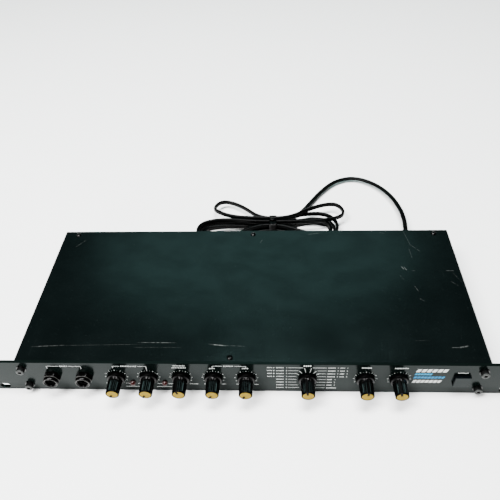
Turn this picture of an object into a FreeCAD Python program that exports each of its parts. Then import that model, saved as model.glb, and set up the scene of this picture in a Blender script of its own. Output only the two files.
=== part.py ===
"""Digital delay unit one rack unit high, with its mains cord.

Frame: X to the right along the front panel, Y backwards into the case, Z up, in millimetres.
The origin is on the underside, in the middle, at the plane where the panel seats on a rack rail.
"""
import FreeCAD, Part
import math
import os
import re

import Sketcher
from FreeCAD import Placement, Rotation, Vector

doc = FreeCAD.newDocument("delay_unit")

# Sizes: every driving dimension, in millimetres or degrees
SIZES = {
    # Front panel, cut for a 19 inch rack
    "panel_length": 482.6,
    "panel_height": 44.0,
    "panel_thick": 3.0,
    "panel_bevel": 0.4,
    "slot_inset": 8.75,
    "rack_rise": 31.75,
    "slot_long": 10.0,
    "slot_wide": 6.8,
    # Case, folded from steel sheet
    "ear_width": 27.3,
    "chassis_depth": 175.0,
    "chassis_height": 42.5,
    "sheet": 1.2,
    "cover_sheet": 1.0,
    "cover_lip": 12.0,
    "cover_bend": 0.9,
    "tray_lip": 9.0,
    "rear_lip": 12.0,
    # Fits
    "loose_gap": 0.3,
    "running_gap": 0.05,
    # Places along the panel
    "first_inset": 32.0,
    "control_pitch": 30.0,
    "mode_place": 53.5,
    "right_dial_inset": 108.7,
    "right_dial_pitch": 30.1,
    "control_height": 22.6,
    "led_offset": 13.7,
    "led_height": 12.8,
    "button_inset": 23.2,
    "button_height": 21.8,
    # Rest angle of each dial, clockwise from the top
    "dial_1_turn": -150.0,
    "dial_2_turn": -150.0,
    "dial_3_turn": -18.0,
    "dial_4_turn": -150.0,
    "dial_5_turn": -150.0,
    "mode_turn": -11.25,
    "dial_6_turn": 9.0,
    "dial_7_turn": -14.0,
    # Knobs
    "knob_gap": 0.4,
    "knob_length": 18.0,
    "skirt_diameter": 17.0,
    "skirt_edge": 1.2,
    "skirt_rise": 4.4,
    "knob_diameter": 13.0,
    "knob_front": 12.4,
    "knob_bevel": 0.5,
    "flute_radius": 1.1,
    "flute_depth": 0.35,
    "pointer_width": 1.7,
    "pointer_proud": 0.45,
    "pointer_start": 1.8,
    "cap_diameter": 11.0,
    "cap_thick": 1.3,
    "cap_proud": 0.3,
    "cap_wall": 1.2,
    # Shafts, potentiometers and the mode switch
    "shaft_diameter": 6.0,
    "shaft_reach": 15.5,
    "bushing_diameter": 7.0,
    "bushing_proud": 2.6,
    "nut_across": 10.0,
    "nut_thick": 2.0,
    "pot_diameter": 16.5,
    "pot_depth": 9.0,
    "rotor_wall": 2.0,
    "mode_diameter": 24.0,
    "mode_depth": 15.0,
    "pin_wide": 1.2,
    "pin_thick": 0.6,
    "pin_drop": 2.5,
    # Input and output jacks for 6.35 mm plugs
    "jack_bore": 6.5,
    "jack_sleeve": 11.0,
    "jack_body": 16.0,
    "jack_depth": 27.0,
    "jack_end_wall": 2.0,
    "jack_nut_across": 14.4,
    "jack_nut_thick": 5.0,
    "collar_diameter": 14.2,
    "collar_thick": 3.0,
    "collar_mouth": 9.6,
    "output_inset": 52.0,
    "output_pitch": 30.0,
    "output_nut_across": 14.0,
    "output_nut_thick": 2.5,
    "output_proud": 4.5,
    # Lights
    "led_diameter": 4.4,
    "led_proud": 2.6,
    "led_flange": 0.8,
    # Power button and its switch
    "button_side": 14.0,
    "button_proud": 3.0,
    "button_flange": 1.2,
    "button_travel": 2.5,
    "plunger_side": 4.0,
    "plunger_length": 12.0,
    "power_switch_side": 13.0,
    "power_switch_depth": 22.0,
    # Fasteners
    "panel_screw_inset": 6.2,
    "panel_screw_rise": 25.6,
    "panel_screw_drop": 0.5,
    "panel_screw_diameter": 4.0,
    "panel_screw_head": 7.2,
    "panel_screw_head_rise": 4.0,
    "panel_screw_length": 9.0,
    "hex_key": 3.0,
    "washer_diameter": 9.0,
    "washer_thick": 0.8,
    "case_screw_diameter": 3.0,
    "case_screw_head": 5.6,
    "case_screw_head_rise": 1.7,
    "case_screw_length": 6.0,
    "cover_screw_inset": 16.0,
    "cover_screw_back": 6.0,
    "cover_screw_front": 4.6,
    "cover_screw_middle": -16.3,
    "rear_screw_inset": 7.0,
    "rear_screw_rise": 10.0,
    # Boards and what stands on them
    "board_thick": 1.6,
    "control_board_after": 50.0,
    "control_board_inset": 66.0,
    "control_board_foot": 4.0,
    "control_board_top": 39.0,
    "standoff_height": 6.0,
    "standoff_diameter": 6.0,
    "main_board_inset": 14.0,
    "core_clearance": 26.0,
    "main_board_front": 34.0,
    "main_board_back": 140.0,
    "board_screw_inset": 5.0,
    "chip_long": 19.0,
    "chip_wide": 7.6,
    "chip_thick": 3.6,
    "capacitor_diameter": 9.0,
    "capacitor_height": 14.0,
    "ribbon_place": -15.0,
    "ribbon_width": 40.0,
    "ribbon_thick": 0.8,
    "ribbon_overlap": 6.0,
    # Transformer
    "core_inset": 74.0,
    "core_back": 86.0,
    "core_width": 48.0,
    "core_height": 36.0,
    "core_thick": 20.0,
    "core_leg": 8.0,
    "coil_proud": 7.0,
    # Level switch on the rear panel
    "level_inset": 154.0,
    "level_height": 22.0,
    "level_window": 9.0,
    "level_window_rise": 4.6,
    "level_travel": 3.0,
    "level_proud": 2.5,
    "level_body_long": 20.0,
    "level_body_rise": 9.0,
    "level_body_depth": 8.0,
    # Strain relief, cord and plug
    "cord_thick": 4.8,
    "cord_place": 177.5,
    "cord_height": 15.0,
    "relief_hole": 12.0,
    "relief_flange": 2.0,
    "relief_flange_diameter": 15.0,
    "relief_root": 10.0,
    "relief_length": 21.0,
    "waist_place": 21.6,
    "waist_back": 46.0,
    "waist_half": 13.4,
    "waist_lift": 1.9,
    "loop_step": 5.9,
    "loop_layer": 5.5,
    "tie_width": 9.0,
    "tie_thick": 1.3,
    "plug_wide": 22.0,
    "plug_thick": 13.6,
    "plug_long": 24.0,
    "plug_round": 3.0,
    "plug_neck": 12.0,
    "blade_gap": 12.7,
    "blade_wide": 6.3,
    "blade_thick": 1.5,
    "blade_long": 17.0,
}

# Counts of what repeats
JACK_COUNT = 2
LEFT_DIALS = 5
OUTPUT_COUNT = 3
FLUTE_COUNT = 20
LOOP_TURNS = 2

# Sizes that follow from others, as formulas of the sheet
DERIVED = {
    "chassis_width": "panel_length - 2 * ear_width",
    "rack_spacing": "panel_length - 2 * slot_inset",
    "first_place": "first_inset - chassis_width / 2",
    "led_place": f"first_place + {JACK_COUNT} * control_pitch + led_offset",
    "right_dial_place": "chassis_width / 2 - right_dial_inset",
    "button_place": "chassis_width / 2 - button_inset",
    "panel_screw_place": "chassis_width / 2 - panel_screw_inset",
    "cover_screw_side": "chassis_width / 2 - cover_screw_inset",
    "rear_screw_side": "chassis_width / 2 - rear_screw_inset",
    "control_board_left": "first_place + control_board_after",
    "control_board_right": "chassis_width / 2 - control_board_inset",
    "main_board_left": "main_board_inset - chassis_width / 2",
    "core_place": "chassis_width / 2 - core_inset",
    "main_board_right": "core_place - core_width / 2 - core_clearance",
    "output_place": "output_inset - chassis_width / 2",
    "level_place": "level_inset - chassis_width / 2",
}

sheet = doc.addObject("Spreadsheet::Sheet", "Sizes")
for row, (alias, value) in enumerate([*SIZES.items(), *DERIVED.items()], start=1):
    sheet.set(f"A{row}", alias)
    sheet.set(f"B{row}", f"={value}" if alias in DERIVED else str(value))
    sheet.setAlias(f"B{row}", alias)
doc.recompute()

# Surfaces that several pieces share, as formulas over the sheet
FACE = "-panel_thick"
PANEL_MIDDLE = "panel_height / 2"
TRAY_SIDE = "(chassis_width / 2 - cover_sheet)"
TRAY_TOP = "(chassis_height - cover_sheet)"
REAR_INSIDE = "(chassis_depth - sheet)"
BOARD_FRONT = "(sheet + pot_depth)"
BOARD_FLOOR = "(sheet + standoff_height)"
BOARD_TOP = "(sheet + standoff_height + board_thick)"
KNOB_FRONT = "(knob_gap + knob_length)"
CAP_SEAT = "(knob_gap + knob_length + cap_proud - cap_thick)"
RELIEF_END = "(chassis_depth + relief_flange + relief_length)"

SUBPARTS = []


def formula(text):
    """The text with the sheet's name before every alias in it."""
    def qualify(word):
        known = word.group() in SIZES or word.group() in DERIVED
        return "Sizes." + word.group() if known else word.group()
    return re.sub(r"[a-z_]\w*", qualify, text)


def size(alias):
    """The number that the sheet holds for an alias."""
    return float(getattr(sheet, alias))


def subpart(thing, label):
    """Names a finished piece and puts it on the list that is written out."""
    thing.Label = label
    SUBPARTS.append(thing)
    return thing


def set_base(thing, x, y, z):
    """Binds a piece's place to three formulas."""
    for coordinate, text in zip("xyz", (x, y, z)):
        thing.setExpression(f"Placement.Base.{coordinate}", formula(text))


def block(name, x, y, z):
    """A box between a low and a high formula on each axis."""
    box = doc.addObject("Part::Box", name)
    for side, (low, high) in zip(("Length", "Width", "Height"), (x, y, z)):
        box.setExpression(side, formula(f"({high}) - ({low})"))
    set_base(box, x[0], y[0], z[0])
    return box


def about(middle, half):
    """The low and high formulas of a span that is centred."""
    return f"({middle}) - ({half})", f"({middle}) + ({half})"


ALONG = {
    "X": Rotation(Vector(0, 1, 0), 90),
    "Y": Rotation(Vector(1, 0, 0), -90),
    "Z": Rotation(),
}


def lay_along(thing, axis, span, at):
    """Turns a round piece along an axis and binds its length and place."""
    low, high = span
    base = {"X": (low, *at), "Y": (at[0], low, at[1]), "Z": (*at, low)}[axis]
    thing.Placement = Placement(Vector(), ALONG[axis])
    thing.setExpression("Height", formula(f"({high}) - ({low})"))
    set_base(thing, *base)
    return thing


def rod(name, diameter, axis, span, at):
    """A round bar along an axis, its middle line at two formulas."""
    bar = doc.addObject("Part::Cylinder", name)
    bar.setExpression("Radius", formula(f"({diameter}) / 2"))
    return lay_along(bar, axis, span, at)


def taper(name, low_diameter, high_diameter, axis, span, at):
    """A cone between two diameters along an axis."""
    cone = doc.addObject("Part::Cone", name)
    cone.setExpression("Radius1", formula(f"({low_diameter}) / 2"))
    cone.setExpression("Radius2", formula(f"({high_diameter}) / 2"))
    return lay_along(cone, axis, span, at)


def hexagon(name, across, axis, span, at):
    """A six-sided bar given across its flats."""
    bar = doc.addObject("Part::Prism", name)
    bar.Polygon = 6
    bar.setExpression("Circumradius", formula(f"({across}) / 2 / cos(30)"))
    return lay_along(bar, axis, span, at)


def fuse(name, pieces):
    """One solid from several that touch or overlap."""
    joined = doc.addObject("Part::MultiFuse", name)
    joined.Shapes = pieces
    joined.Refine = True
    return joined


def group(name, pieces):
    """Separate solids that share a node."""
    gathered = doc.addObject("Part::Compound", name)
    gathered.Links = pieces
    return gathered


def cut(name, base, tools):
    """A base less its tools, which stand clear of each other."""
    result = doc.addObject("Part::Cut", name)
    result.Base = base
    result.Tool = tools[0] if len(tools) == 1 else group(f"{name}_tools", tools)
    result.Refine = True
    return result


def new_sketch(body, role, name, lift="0"):
    """A sketch on one of a body's own planes, lifted along its normal."""
    plane = next(feature for feature in body.Origin.OriginFeatures if feature.Role == role)
    sketch = body.newObject("Sketcher::SketchObject", name)
    sketch.AttachmentSupport = (plane, [""])
    sketch.MapMode = "FlatFace"
    sketch.setExpression("AttachmentOffset.Base.z", formula(lift))
    return sketch


def pin_point(sketch, line, end, across, up):
    """Binds a point of a sketch to two formulas."""
    for kind, text, start in (("DistanceX", across, 1.0), ("DistanceY", up, 1.0)):
        index = sketch.addConstraint(Sketcher.Constraint(kind, -1, 1, line, end, start))
        sketch.setExpression(f"Constraints[{index}]", formula(text))


def draw_outline(sketch, corners):
    """A closed outline of straight lines through corners given as pairs of formulas."""
    count = len(corners)
    turn = 2 * math.pi / count
    ring = [Vector(2 + math.cos(k * turn), 2 + math.sin(k * turn), 0) for k in range(count)]
    for k in range(count):
        sketch.addGeometry(Part.LineSegment(ring[k], ring[(k + 1) % count]))
    for k in range(count):
        sketch.addConstraint(Sketcher.Constraint("Coincident", k, 2, (k + 1) % count, 1))
    for k, (across, up) in enumerate(corners):
        pin_point(sketch, k, 1, across, up)


def draw_circle(sketch, across, up, diameter):
    """A circle whose middle and size are formulas."""
    index = sketch.addGeometry(Part.Circle(Vector(2, 2, 0), Vector(0, 0, 1), 1))
    pin_point(sketch, index, 3, across, up)
    radius = sketch.addConstraint(Sketcher.Constraint("Radius", index, 1.0))
    sketch.setExpression(f"Constraints[{radius}]", formula(f"({diameter}) / 2"))


def rectangle(x, z):
    """The four corners of a rectangle between two spans."""
    return [(x[0], z[0]), (x[1], z[0]), (x[1], z[1]), (x[0], z[1])]


def pad(body, sketch, name, length, reverse=False):
    """A pad of a sketch in its own body."""
    feature = body.newObject("PartDesign::Pad", name)
    feature.Profile = (sketch, [""])
    feature.Reversed = reverse
    feature.setExpression("Length", formula(length))
    return feature


def pocket(body, sketch, name, length, reverse=False):
    """A pocket of a sketch in its own body."""
    feature = body.newObject("PartDesign::Pocket", name)
    feature.Profile = (sketch, [""])
    feature.Reversed = reverse
    feature.setExpression("Length", formula(length))
    return feature


def dress(body, base, kind, name, radius):
    """A fillet or chamfer on every edge of a feature."""
    feature = body.newObject(f"PartDesign::{kind}", name)
    feature.Base = (base, [""])
    feature.UseAllEdges = True
    feature.setExpression("Radius" if kind == "Fillet" else "Size", formula(radius))
    return feature


def stand(body, x, y, z, turn=None):
    """Places a body, turned about the Y axis where it is a dial."""
    body.Placement = Placement(Vector(), Rotation(Vector(0, 1, 0), 1 if turn else 0))
    set_base(body, x, y, z)
    if turn:
        body.setExpression("Placement.Rotation.Angle", formula(turn))


def dial_places():
    """Each dial's name and its place along the panel, from left to right."""
    places = [(f"dial_{k + 1}", f"first_place + {k + JACK_COUNT} * control_pitch")
              for k in range(LEFT_DIALS)]
    places.append(("mode", "mode_place"))
    places += [(f"dial_{LEFT_DIALS + 1 + k}", f"right_dial_place + {k} * right_dial_pitch")
               for k in range(2)]
    return places


DIALS = dial_places()
JACKS = [f"first_place + {k} * control_pitch" for k in range(JACK_COUNT)]
OUTPUTS = [f"output_place + {k} * output_pitch" for k in range(OUTPUT_COUNT)]
LEDS = [f"led_place + {k} * control_pitch" for k in range(2)]
SIDES = (-1, 1)


def front_holes(name, span):
    """What the panel and the tray's front wall share: dial, jack, light and button holes."""
    tools = [rod(f"{name}_{dial}_hole", "bushing_diameter + loose_gap", "Y", span,
                 (place, "control_height")) for dial, place in DIALS]
    tools += [rod(f"{name}_jack_hole", "jack_sleeve + loose_gap", "Y", span,
                  (place, "control_height")) for place in JACKS]
    tools += [rod(f"{name}_led_hole", "led_diameter + loose_gap", "Y", span,
                  (place, "led_height")) for place in LEDS]
    half = "button_side / 2 + loose_gap"
    tools.append(block(f"{name}_button_window", about("button_place", half), span,
                       about("button_height", half)))
    return tools


def panel_screw_spots():
    """The four hex socket screws that hold the panel to the case."""
    middle = f"{PANEL_MIDDLE} - panel_screw_drop"
    return [(f"{side} * panel_screw_place", f"{middle} + {level} * panel_screw_rise / 2")
            for side in SIDES for level in SIDES]


def rack_slot(side, level):
    """The tool for one rounded rack slot through an ear."""
    middle = f"{side} * rack_spacing / 2"
    height = f"{PANEL_MIDDLE} + {level} * rack_rise / 2"
    reach = "(slot_long - slot_wide) / 2"
    through = about("-panel_thick / 2", "panel_thick")
    ends = [rod("slot_end", "slot_wide", "Y", through, (f"{middle} + {way} * {reach}", height))
            for way in SIDES]
    bar = block("slot_bar", about(middle, reach), through, about(height, "slot_wide / 2"))
    return fuse("rack_slot", [bar, *ends])


def make_front_panel():
    """A plate with bevelled edges, rack slots and every front hole."""
    body = doc.addObject("PartDesign::Body", "panel_plate")
    outline = new_sketch(body, "XZ_Plane", "panel_outline")
    draw_outline(outline, rectangle(about("0", "panel_length / 2"), ("0", "panel_height")))
    plate = pad(body, outline, "panel_pad", "panel_thick")
    doc.recompute()
    dress(body, plate, "Chamfer", "panel_edges", "panel_bevel")
    through = about("-panel_thick / 2", "panel_thick")
    tools = front_holes("panel", through)
    tools += [rack_slot(side, level) for side in SIDES for level in SIDES]
    tools += [rod("panel_screw_hole", "panel_screw_diameter + loose_gap", "Y", through, spot)
              for spot in panel_screw_spots()]
    subpart(cut("panel_cut", body, tools), "front_panel")


def make_tray():
    """The folded tray: floor, sides, front wall, lips for the cover and tabs for the rear panel."""
    outer = block("tray_outer", about("0", TRAY_SIDE), ("0", REAR_INSIDE), ("0", TRAY_TOP))
    inner = block("tray_inner", about("0", f"{TRAY_SIDE} - sheet"),
                  ("sheet", "chassis_depth"), ("sheet", "chassis_height"))
    folds = [cut("tray_shell", outer, [inner])]
    for side in SIDES:
        edges = (f"{side} * ({TRAY_SIDE} - sheet)", f"{side} * ({TRAY_SIDE} - sheet - tray_lip)")
        span = edges if side < 0 else edges[::-1]
        folds.append(block("tray_side_lip", span, ("sheet", f"{REAR_INSIDE} - rear_lip"),
                           (f"{TRAY_TOP} - sheet", TRAY_TOP)))
        folds.append(block("tray_rear_tab", span, (f"{REAR_INSIDE} - sheet", REAR_INSIDE),
                           ("sheet", f"{TRAY_TOP} - 2 * sheet")))
    folds.append(block("tray_front_lip", about("0", f"{TRAY_SIDE} - sheet"),
                       ("sheet", "sheet + tray_lip"), (f"{TRAY_TOP} - sheet", TRAY_TOP)))
    through = about("sheet / 2", "sheet")
    tools = front_holes("tray", through)
    tools += [rod("tray_screw_hole", "panel_screw_diameter + 2 * running_gap", "Y", through, spot)
              for spot in panel_screw_spots()]
    tools.append(rod("tray_cover_hole", "case_screw_diameter + 2 * running_gap", "Z",
                     (f"{TRAY_TOP} - 2 * sheet", "chassis_height"),
                     ("cover_screw_middle", "cover_screw_front")))
    tools += [rod("tray_rear_hole", "case_screw_diameter + 2 * running_gap", "Y",
                  (f"{REAR_INSIDE} - 2 * sheet", "chassis_depth"), spot)
              for spot in rear_screw_spots()]
    subpart(cut("tray_cut", fuse("tray_folds", folds), tools), "chassis_tray")


def rear_screw_spots():
    """Two screws up each side of the rear panel."""
    return [(f"{side} * rear_screw_side", f"{TRAY_TOP} / 2 + {level} * rear_screw_rise")
            for side in SIDES for level in SIDES]


def cover_screw_spots():
    """Three screws along the cover's rear edge and one at its front, as (across, back)."""
    back = "chassis_depth - cover_screw_back"
    spots = [(f"{side} * cover_screw_side", back) for side in (-1, 0, 1)]
    return spots + [("cover_screw_middle", "cover_screw_front")]


def make_rear_panel():
    """The rear plate with its top lip, and the holes for jacks, level switch and cord."""
    plate = block("rear_plate", about("0", TRAY_SIDE), (REAR_INSIDE, "chassis_depth"),
                  ("0", TRAY_TOP))
    lip = block("rear_lip_fold", about("0", f"{TRAY_SIDE} - sheet - loose_gap"),
                (f"{REAR_INSIDE} - rear_lip", "chassis_depth"), (f"{TRAY_TOP} - sheet", TRAY_TOP))
    through = about(f"{REAR_INSIDE} + sheet / 2", "sheet")
    tools = [rod("output_hole", "jack_sleeve + loose_gap", "Y", through,
                 (place, "control_height")) for place in OUTPUTS]
    tools.append(rod("relief_hole_tool", "relief_hole", "Y", through,
                     ("cord_place", "cord_height")))
    tools.append(block("level_window_tool",
                       about("level_place", "level_window / 2 + loose_gap"), through,
                       about("level_height", "level_window_rise / 2")))
    tools += [rod("rear_screw_hole", "case_screw_diameter + loose_gap", "Y", through, spot)
              for spot in rear_screw_spots()]
    tools += [rod("lip_screw_hole", "case_screw_diameter + 2 * running_gap", "Z",
                  (f"{TRAY_TOP} - 2 * sheet", "chassis_height"), spot)
              for spot in cover_screw_spots()[:3]]
    subpart(cut("rear_cut", fuse("rear_folds", [plate, lip]), tools), "rear_panel")


def make_cover():
    """The top cover: a sheet bent down at both sides, with screw holes."""
    body = doc.addObject("PartDesign::Body", "cover_sheet_body")
    profile = new_sketch(body, "XZ_Plane", "cover_profile")
    half, inside = "chassis_width / 2", "chassis_width / 2 - cover_sheet"
    foot = "chassis_height - cover_lip"
    draw_outline(profile, [
        (f"-({half})", foot), (f"-({inside})", foot), (f"-({inside})", TRAY_TOP),
        (inside, TRAY_TOP), (inside, foot), (half, foot),
        (half, "chassis_height - cover_bend"), (f"{half} - cover_bend", "chassis_height"),
        (f"-({half}) + cover_bend", "chassis_height"),
        (f"-({half})", "chassis_height - cover_bend"),
    ])
    pad(body, profile, "cover_pad", "chassis_depth", reverse=True)
    tools = [rod("cover_screw_hole", "case_screw_diameter + loose_gap", "Z",
                 (f"{TRAY_TOP} - cover_sheet", "chassis_height + cover_sheet"), spot)
             for spot in cover_screw_spots()]
    subpart(cut("cover_cut", body, tools), "top_cover")


def pan_screw(axis, seat, at):
    """A pan-head screw with a cross recess, its head above the seat."""
    head = taper("screw_head", "case_screw_head", "case_screw_head * 0.72", axis,
                 (seat, f"{seat} + case_screw_head_rise"), at)
    shank = rod("screw_shank", "case_screw_diameter", axis,
                (f"{seat} - case_screw_length", seat), at)
    floor = f"{seat} + case_screw_head_rise / 2"
    deep = (floor, f"{seat} + 2 * case_screw_head_rise")
    arm, thin = "case_screw_head * 0.28", "case_screw_head * 0.07"
    bars = []
    for long, short in ((arm, thin), (thin, arm)):
        spans = (about(at[0], long), about(at[1], short))
        x, y, z = (*spans, deep) if axis == "Z" else (spans[0], deep, spans[1])
        bars.append(block("cross_bar", x, y, z))
    return cut("pan_screw", fuse("screw_blank", [head, shank]), [fuse("cross_recess", bars)])


def make_case_screws():
    """The black screws of the cover and the rear panel."""
    screws = [pan_screw("Z", "chassis_height", spot) for spot in cover_screw_spots()]
    screws += [pan_screw("Y", "chassis_depth", spot) for spot in rear_screw_spots()]
    subpart(group("case_screw_group", screws), "case_screws")


def make_panel_screws():
    """Hex socket cap screws on washers, through the panel into the tray's front wall."""
    screws, washers = [], []
    for spot in panel_screw_spots():
        seat = f"{FACE} - washer_thick"
        top = f"{seat} - panel_screw_head_rise"
        head = rod("cap_head", "panel_screw_head", "Y", (top, seat), spot)
        shank = rod("cap_shank", "panel_screw_diameter", "Y",
                    (seat, f"{seat} + panel_screw_length"), spot)
        socket = hexagon("hex_socket", "hex_key", "Y",
                         (f"{top} - 1", f"{top} + panel_screw_head_rise * 0.6"), spot)
        screws.append(cut("cap_screw", fuse("cap_blank", [head, shank]), [socket]))
        disc = rod("washer_disc", "washer_diameter", "Y", (seat, FACE), spot)
        eye = rod("washer_eye", "panel_screw_diameter + 2 * running_gap", "Y",
                  (f"{seat} - 1", f"{FACE} + 1"), spot)
        washers.append(cut("washer", disc, [eye]))
    subpart(group("panel_screw_group", screws), "panel_screws")
    subpart(group("washer_group", washers), "panel_washers")


def make_knob(dial, place):
    """A fluted knob on a flared skirt, hollow at the back, with a raised pointer at its top."""
    body = doc.addObject("PartDesign::Body", f"{dial}_knob_body")
    profile = new_sketch(body, "XY_Plane", f"{dial}_knob_profile")
    hollow = "nut_across / 2 / cos(30) + 2 * loose_gap"
    hollow_floor = "-(bushing_proud + 2 * loose_gap)"
    bore = "shaft_diameter / 2 + running_gap"
    bore_end = "-(knob_gap + shaft_reach + loose_gap)"
    draw_outline(profile, [
        (hollow, "-knob_gap"),
        ("skirt_diameter / 2", "-knob_gap"),
        ("skirt_diameter / 2", "-(knob_gap + skirt_edge)"),
        ("knob_diameter / 2", "-(knob_gap + skirt_rise)"),
        ("knob_front / 2", f"-({KNOB_FRONT} - knob_bevel)"),
        ("knob_front / 2 - knob_bevel", f"-{KNOB_FRONT}"),
        ("cap_diameter / 2 + running_gap", f"-{KNOB_FRONT}"),
        ("cap_diameter / 2 + running_gap", f"-{CAP_SEAT}"),
        ("0", f"-{CAP_SEAT}"),
        ("0", bore_end),
        (bore, bore_end),
        (bore, hollow_floor),
        (hollow, hollow_floor),
    ])
    turned = body.newObject("PartDesign::Revolution", f"{dial}_knob_turned")
    turned.Profile = (profile, [""])
    turned.ReferenceAxis = (profile, ["V_Axis"])
    turned.Angle = 360
    doc.recompute()
    flute_plan = new_sketch(body, "XZ_Plane", f"{dial}_flute_plan", "knob_gap + skirt_rise")
    away = "(knob_diameter / 2 + flute_radius - flute_depth)"
    half_pitch = 180 / FLUTE_COUNT
    draw_circle(flute_plan, f"{away} * sin({half_pitch})", f"{away} * cos({half_pitch})",
                "2 * flute_radius")
    flute = pocket(body, flute_plan, f"{dial}_flute", "knob_length", reverse=True)
    ring = body.newObject("PartDesign::PolarPattern", f"{dial}_flutes")
    ring.Originals = [flute]
    ring.Axis = (flute_plan, ["N_Axis"])
    ring.Angle = 360
    ring.Occurrences = FLUTE_COUNT
    body.Tip = ring
    doc.recompute()
    pointer_plan = new_sketch(body, "XZ_Plane", f"{dial}_pointer_plan", "knob_gap + skirt_rise")
    draw_outline(pointer_plan, rectangle(about("0", "pointer_width / 2"),
                                         ("pointer_start", "knob_diameter / 2 + pointer_proud")))
    ridge = pad(body, pointer_plan, f"{dial}_pointer", "knob_length - skirt_rise + cap_proud")
    doc.recompute()
    bore_plan = new_sketch(body, "XZ_Plane", f"{dial}_bore_plan", "0")
    draw_circle(bore_plan, "0", "0", f"2 * ({bore})")
    pocket(body, bore_plan, f"{dial}_bore", "knob_gap + shaft_reach + loose_gap", reverse=True)
    stand(body, place, FACE, "control_height", f"{dial}_turn")
    subpart(body, f"{dial}_knob")
    return ridge


def make_cap(dial, place):
    """The pale disc in a knob's front, notched for the pointer."""
    body = doc.addObject("PartDesign::Body", f"{dial}_cap_body")
    plan = new_sketch(body, "XZ_Plane", f"{dial}_cap_plan", CAP_SEAT)
    draw_circle(plan, "0", "0", "cap_diameter")
    pad(body, plan, f"{dial}_cap_pad", "cap_thick")
    doc.recompute()
    notch = new_sketch(body, "XZ_Plane", f"{dial}_notch_plan", f"{CAP_SEAT} - cap_thick")
    draw_outline(notch, rectangle(about("0", "pointer_width / 2 + running_gap"),
                                  ("pointer_start - running_gap", "cap_diameter")))
    pocket(body, notch, f"{dial}_notch", "3 * cap_thick", reverse=True)
    stand(body, place, FACE, "control_height", f"{dial}_turn")
    subpart(body, f"{dial}_cap")


def rotor_span(depth, ease):
    """Where a shaft's rotor runs inside its housing, eased at both ends."""
    return f"sheet + rotor_wall + {ease}", f"sheet + {depth} - rotor_wall - {ease}"


def make_shaft(dial, place, diameter, depth):
    """A shaft from the knob's bore to the rotor inside its housing."""
    at = (place, "control_height")
    ends = (f"{FACE} - knob_gap - shaft_reach", rotor_span(depth, "loose_gap")[1])
    shaft = rod(f"{dial}_shaft_rod", "shaft_diameter", "Y", ends, at)
    rotor = rod(f"{dial}_rotor", f"{diameter} - 2 * rotor_wall - 2 * loose_gap", "Y",
                rotor_span(depth, "loose_gap"), at)
    subpart(fuse(f"{dial}_shaft_fused", [shaft, rotor]), f"{dial}_shaft")


def housing(dial, place, diameter, depth):
    """A potentiometer or switch housing: can, threaded bushing, rotor space and three pins."""
    at = (place, "control_height")
    can = rod(f"{dial}_can", diameter, "Y", ("sheet", f"sheet + {depth}"), at)
    bushing = rod(f"{dial}_bushing", "bushing_diameter", "Y",
                  (f"{FACE} - bushing_proud", "2 * sheet"), at)
    low = f"control_height - {diameter} / 2 - pin_drop"
    pins = []
    for step in (-1, 0, 1):
        middle = f"({place}) + {step} * {diameter} / 4"
        pins.append(block(f"{dial}_pin", about(middle, "pin_wide / 2"),
                          (f"{BOARD_FRONT} - 2 * pin_thick", BOARD_FRONT),
                          (low, f"control_height - {diameter} / 4")))
    bore = rod(f"{dial}_bore_tool", "shaft_diameter + 2 * running_gap", "Y",
               (f"{FACE} - 2 * bushing_proud", "sheet + rotor_wall + loose_gap"), at)
    space = rod(f"{dial}_space", f"{diameter} - 2 * rotor_wall", "Y", rotor_span(depth, "0"), at)
    return cut(f"{dial}_housing", fuse(f"{dial}_can_fused", [can, bushing, *pins]),
               [fuse(f"{dial}_inside", [bore, space])])


def make_dials():
    """Knobs, caps, shafts and housings of the seven potentiometers and the mode switch."""
    pots, nuts = [], []
    for dial, place in DIALS:
        is_switch = dial == "mode"
        diameter = "mode_diameter" if is_switch else "pot_diameter"
        depth = "mode_depth" if is_switch else "pot_depth"
        make_knob(dial, place)
        make_cap(dial, place)
        make_shaft(dial, place, diameter, depth)
        case = housing(dial, place, diameter, depth)
        if is_switch:
            subpart(case, "mode_switch")
        else:
            pots.append(case)
        at = (place, "control_height")
        nut = hexagon(f"{dial}_nut", "nut_across", "Y", (f"{FACE} - nut_thick", FACE), at)
        eye = rod(f"{dial}_nut_eye", "bushing_diameter + 2 * running_gap", "Y",
                  (f"{FACE} - 2 * nut_thick", "0"), at)
        nuts.append(cut(f"{dial}_nut_cut", nut, [eye]))
    subpart(group("pot_group", pots), "dial_pots")
    subpart(group("nut_group", nuts), "dial_nuts")


def jack(name, place, mouth, inside, outward):
    """A jack for a 6.35 mm plug: square housing, threaded sleeve and its blind bore."""
    at = (place, "control_height")
    far = f"{inside} - {outward} * jack_depth"
    stop = f"{far} + {outward} * jack_end_wall"
    half = "jack_body / 2"

    def ordered(a, b):
        return (a, b) if outward > 0 else (b, a)

    case = block(f"{name}_case", about(place, half), ordered(far, inside),
                 about("control_height", half))
    sleeve = rod(f"{name}_sleeve", "jack_sleeve", "Y",
                 ordered(f"{inside} - {outward}", mouth), at)
    bore = rod(f"{name}_bore", "jack_bore", "Y",
               ordered(stop, f"{mouth} + {outward}"), at)
    return cut(f"{name}_cut", fuse(f"{name}_fused", [case, sleeve]), [bore])


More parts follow.
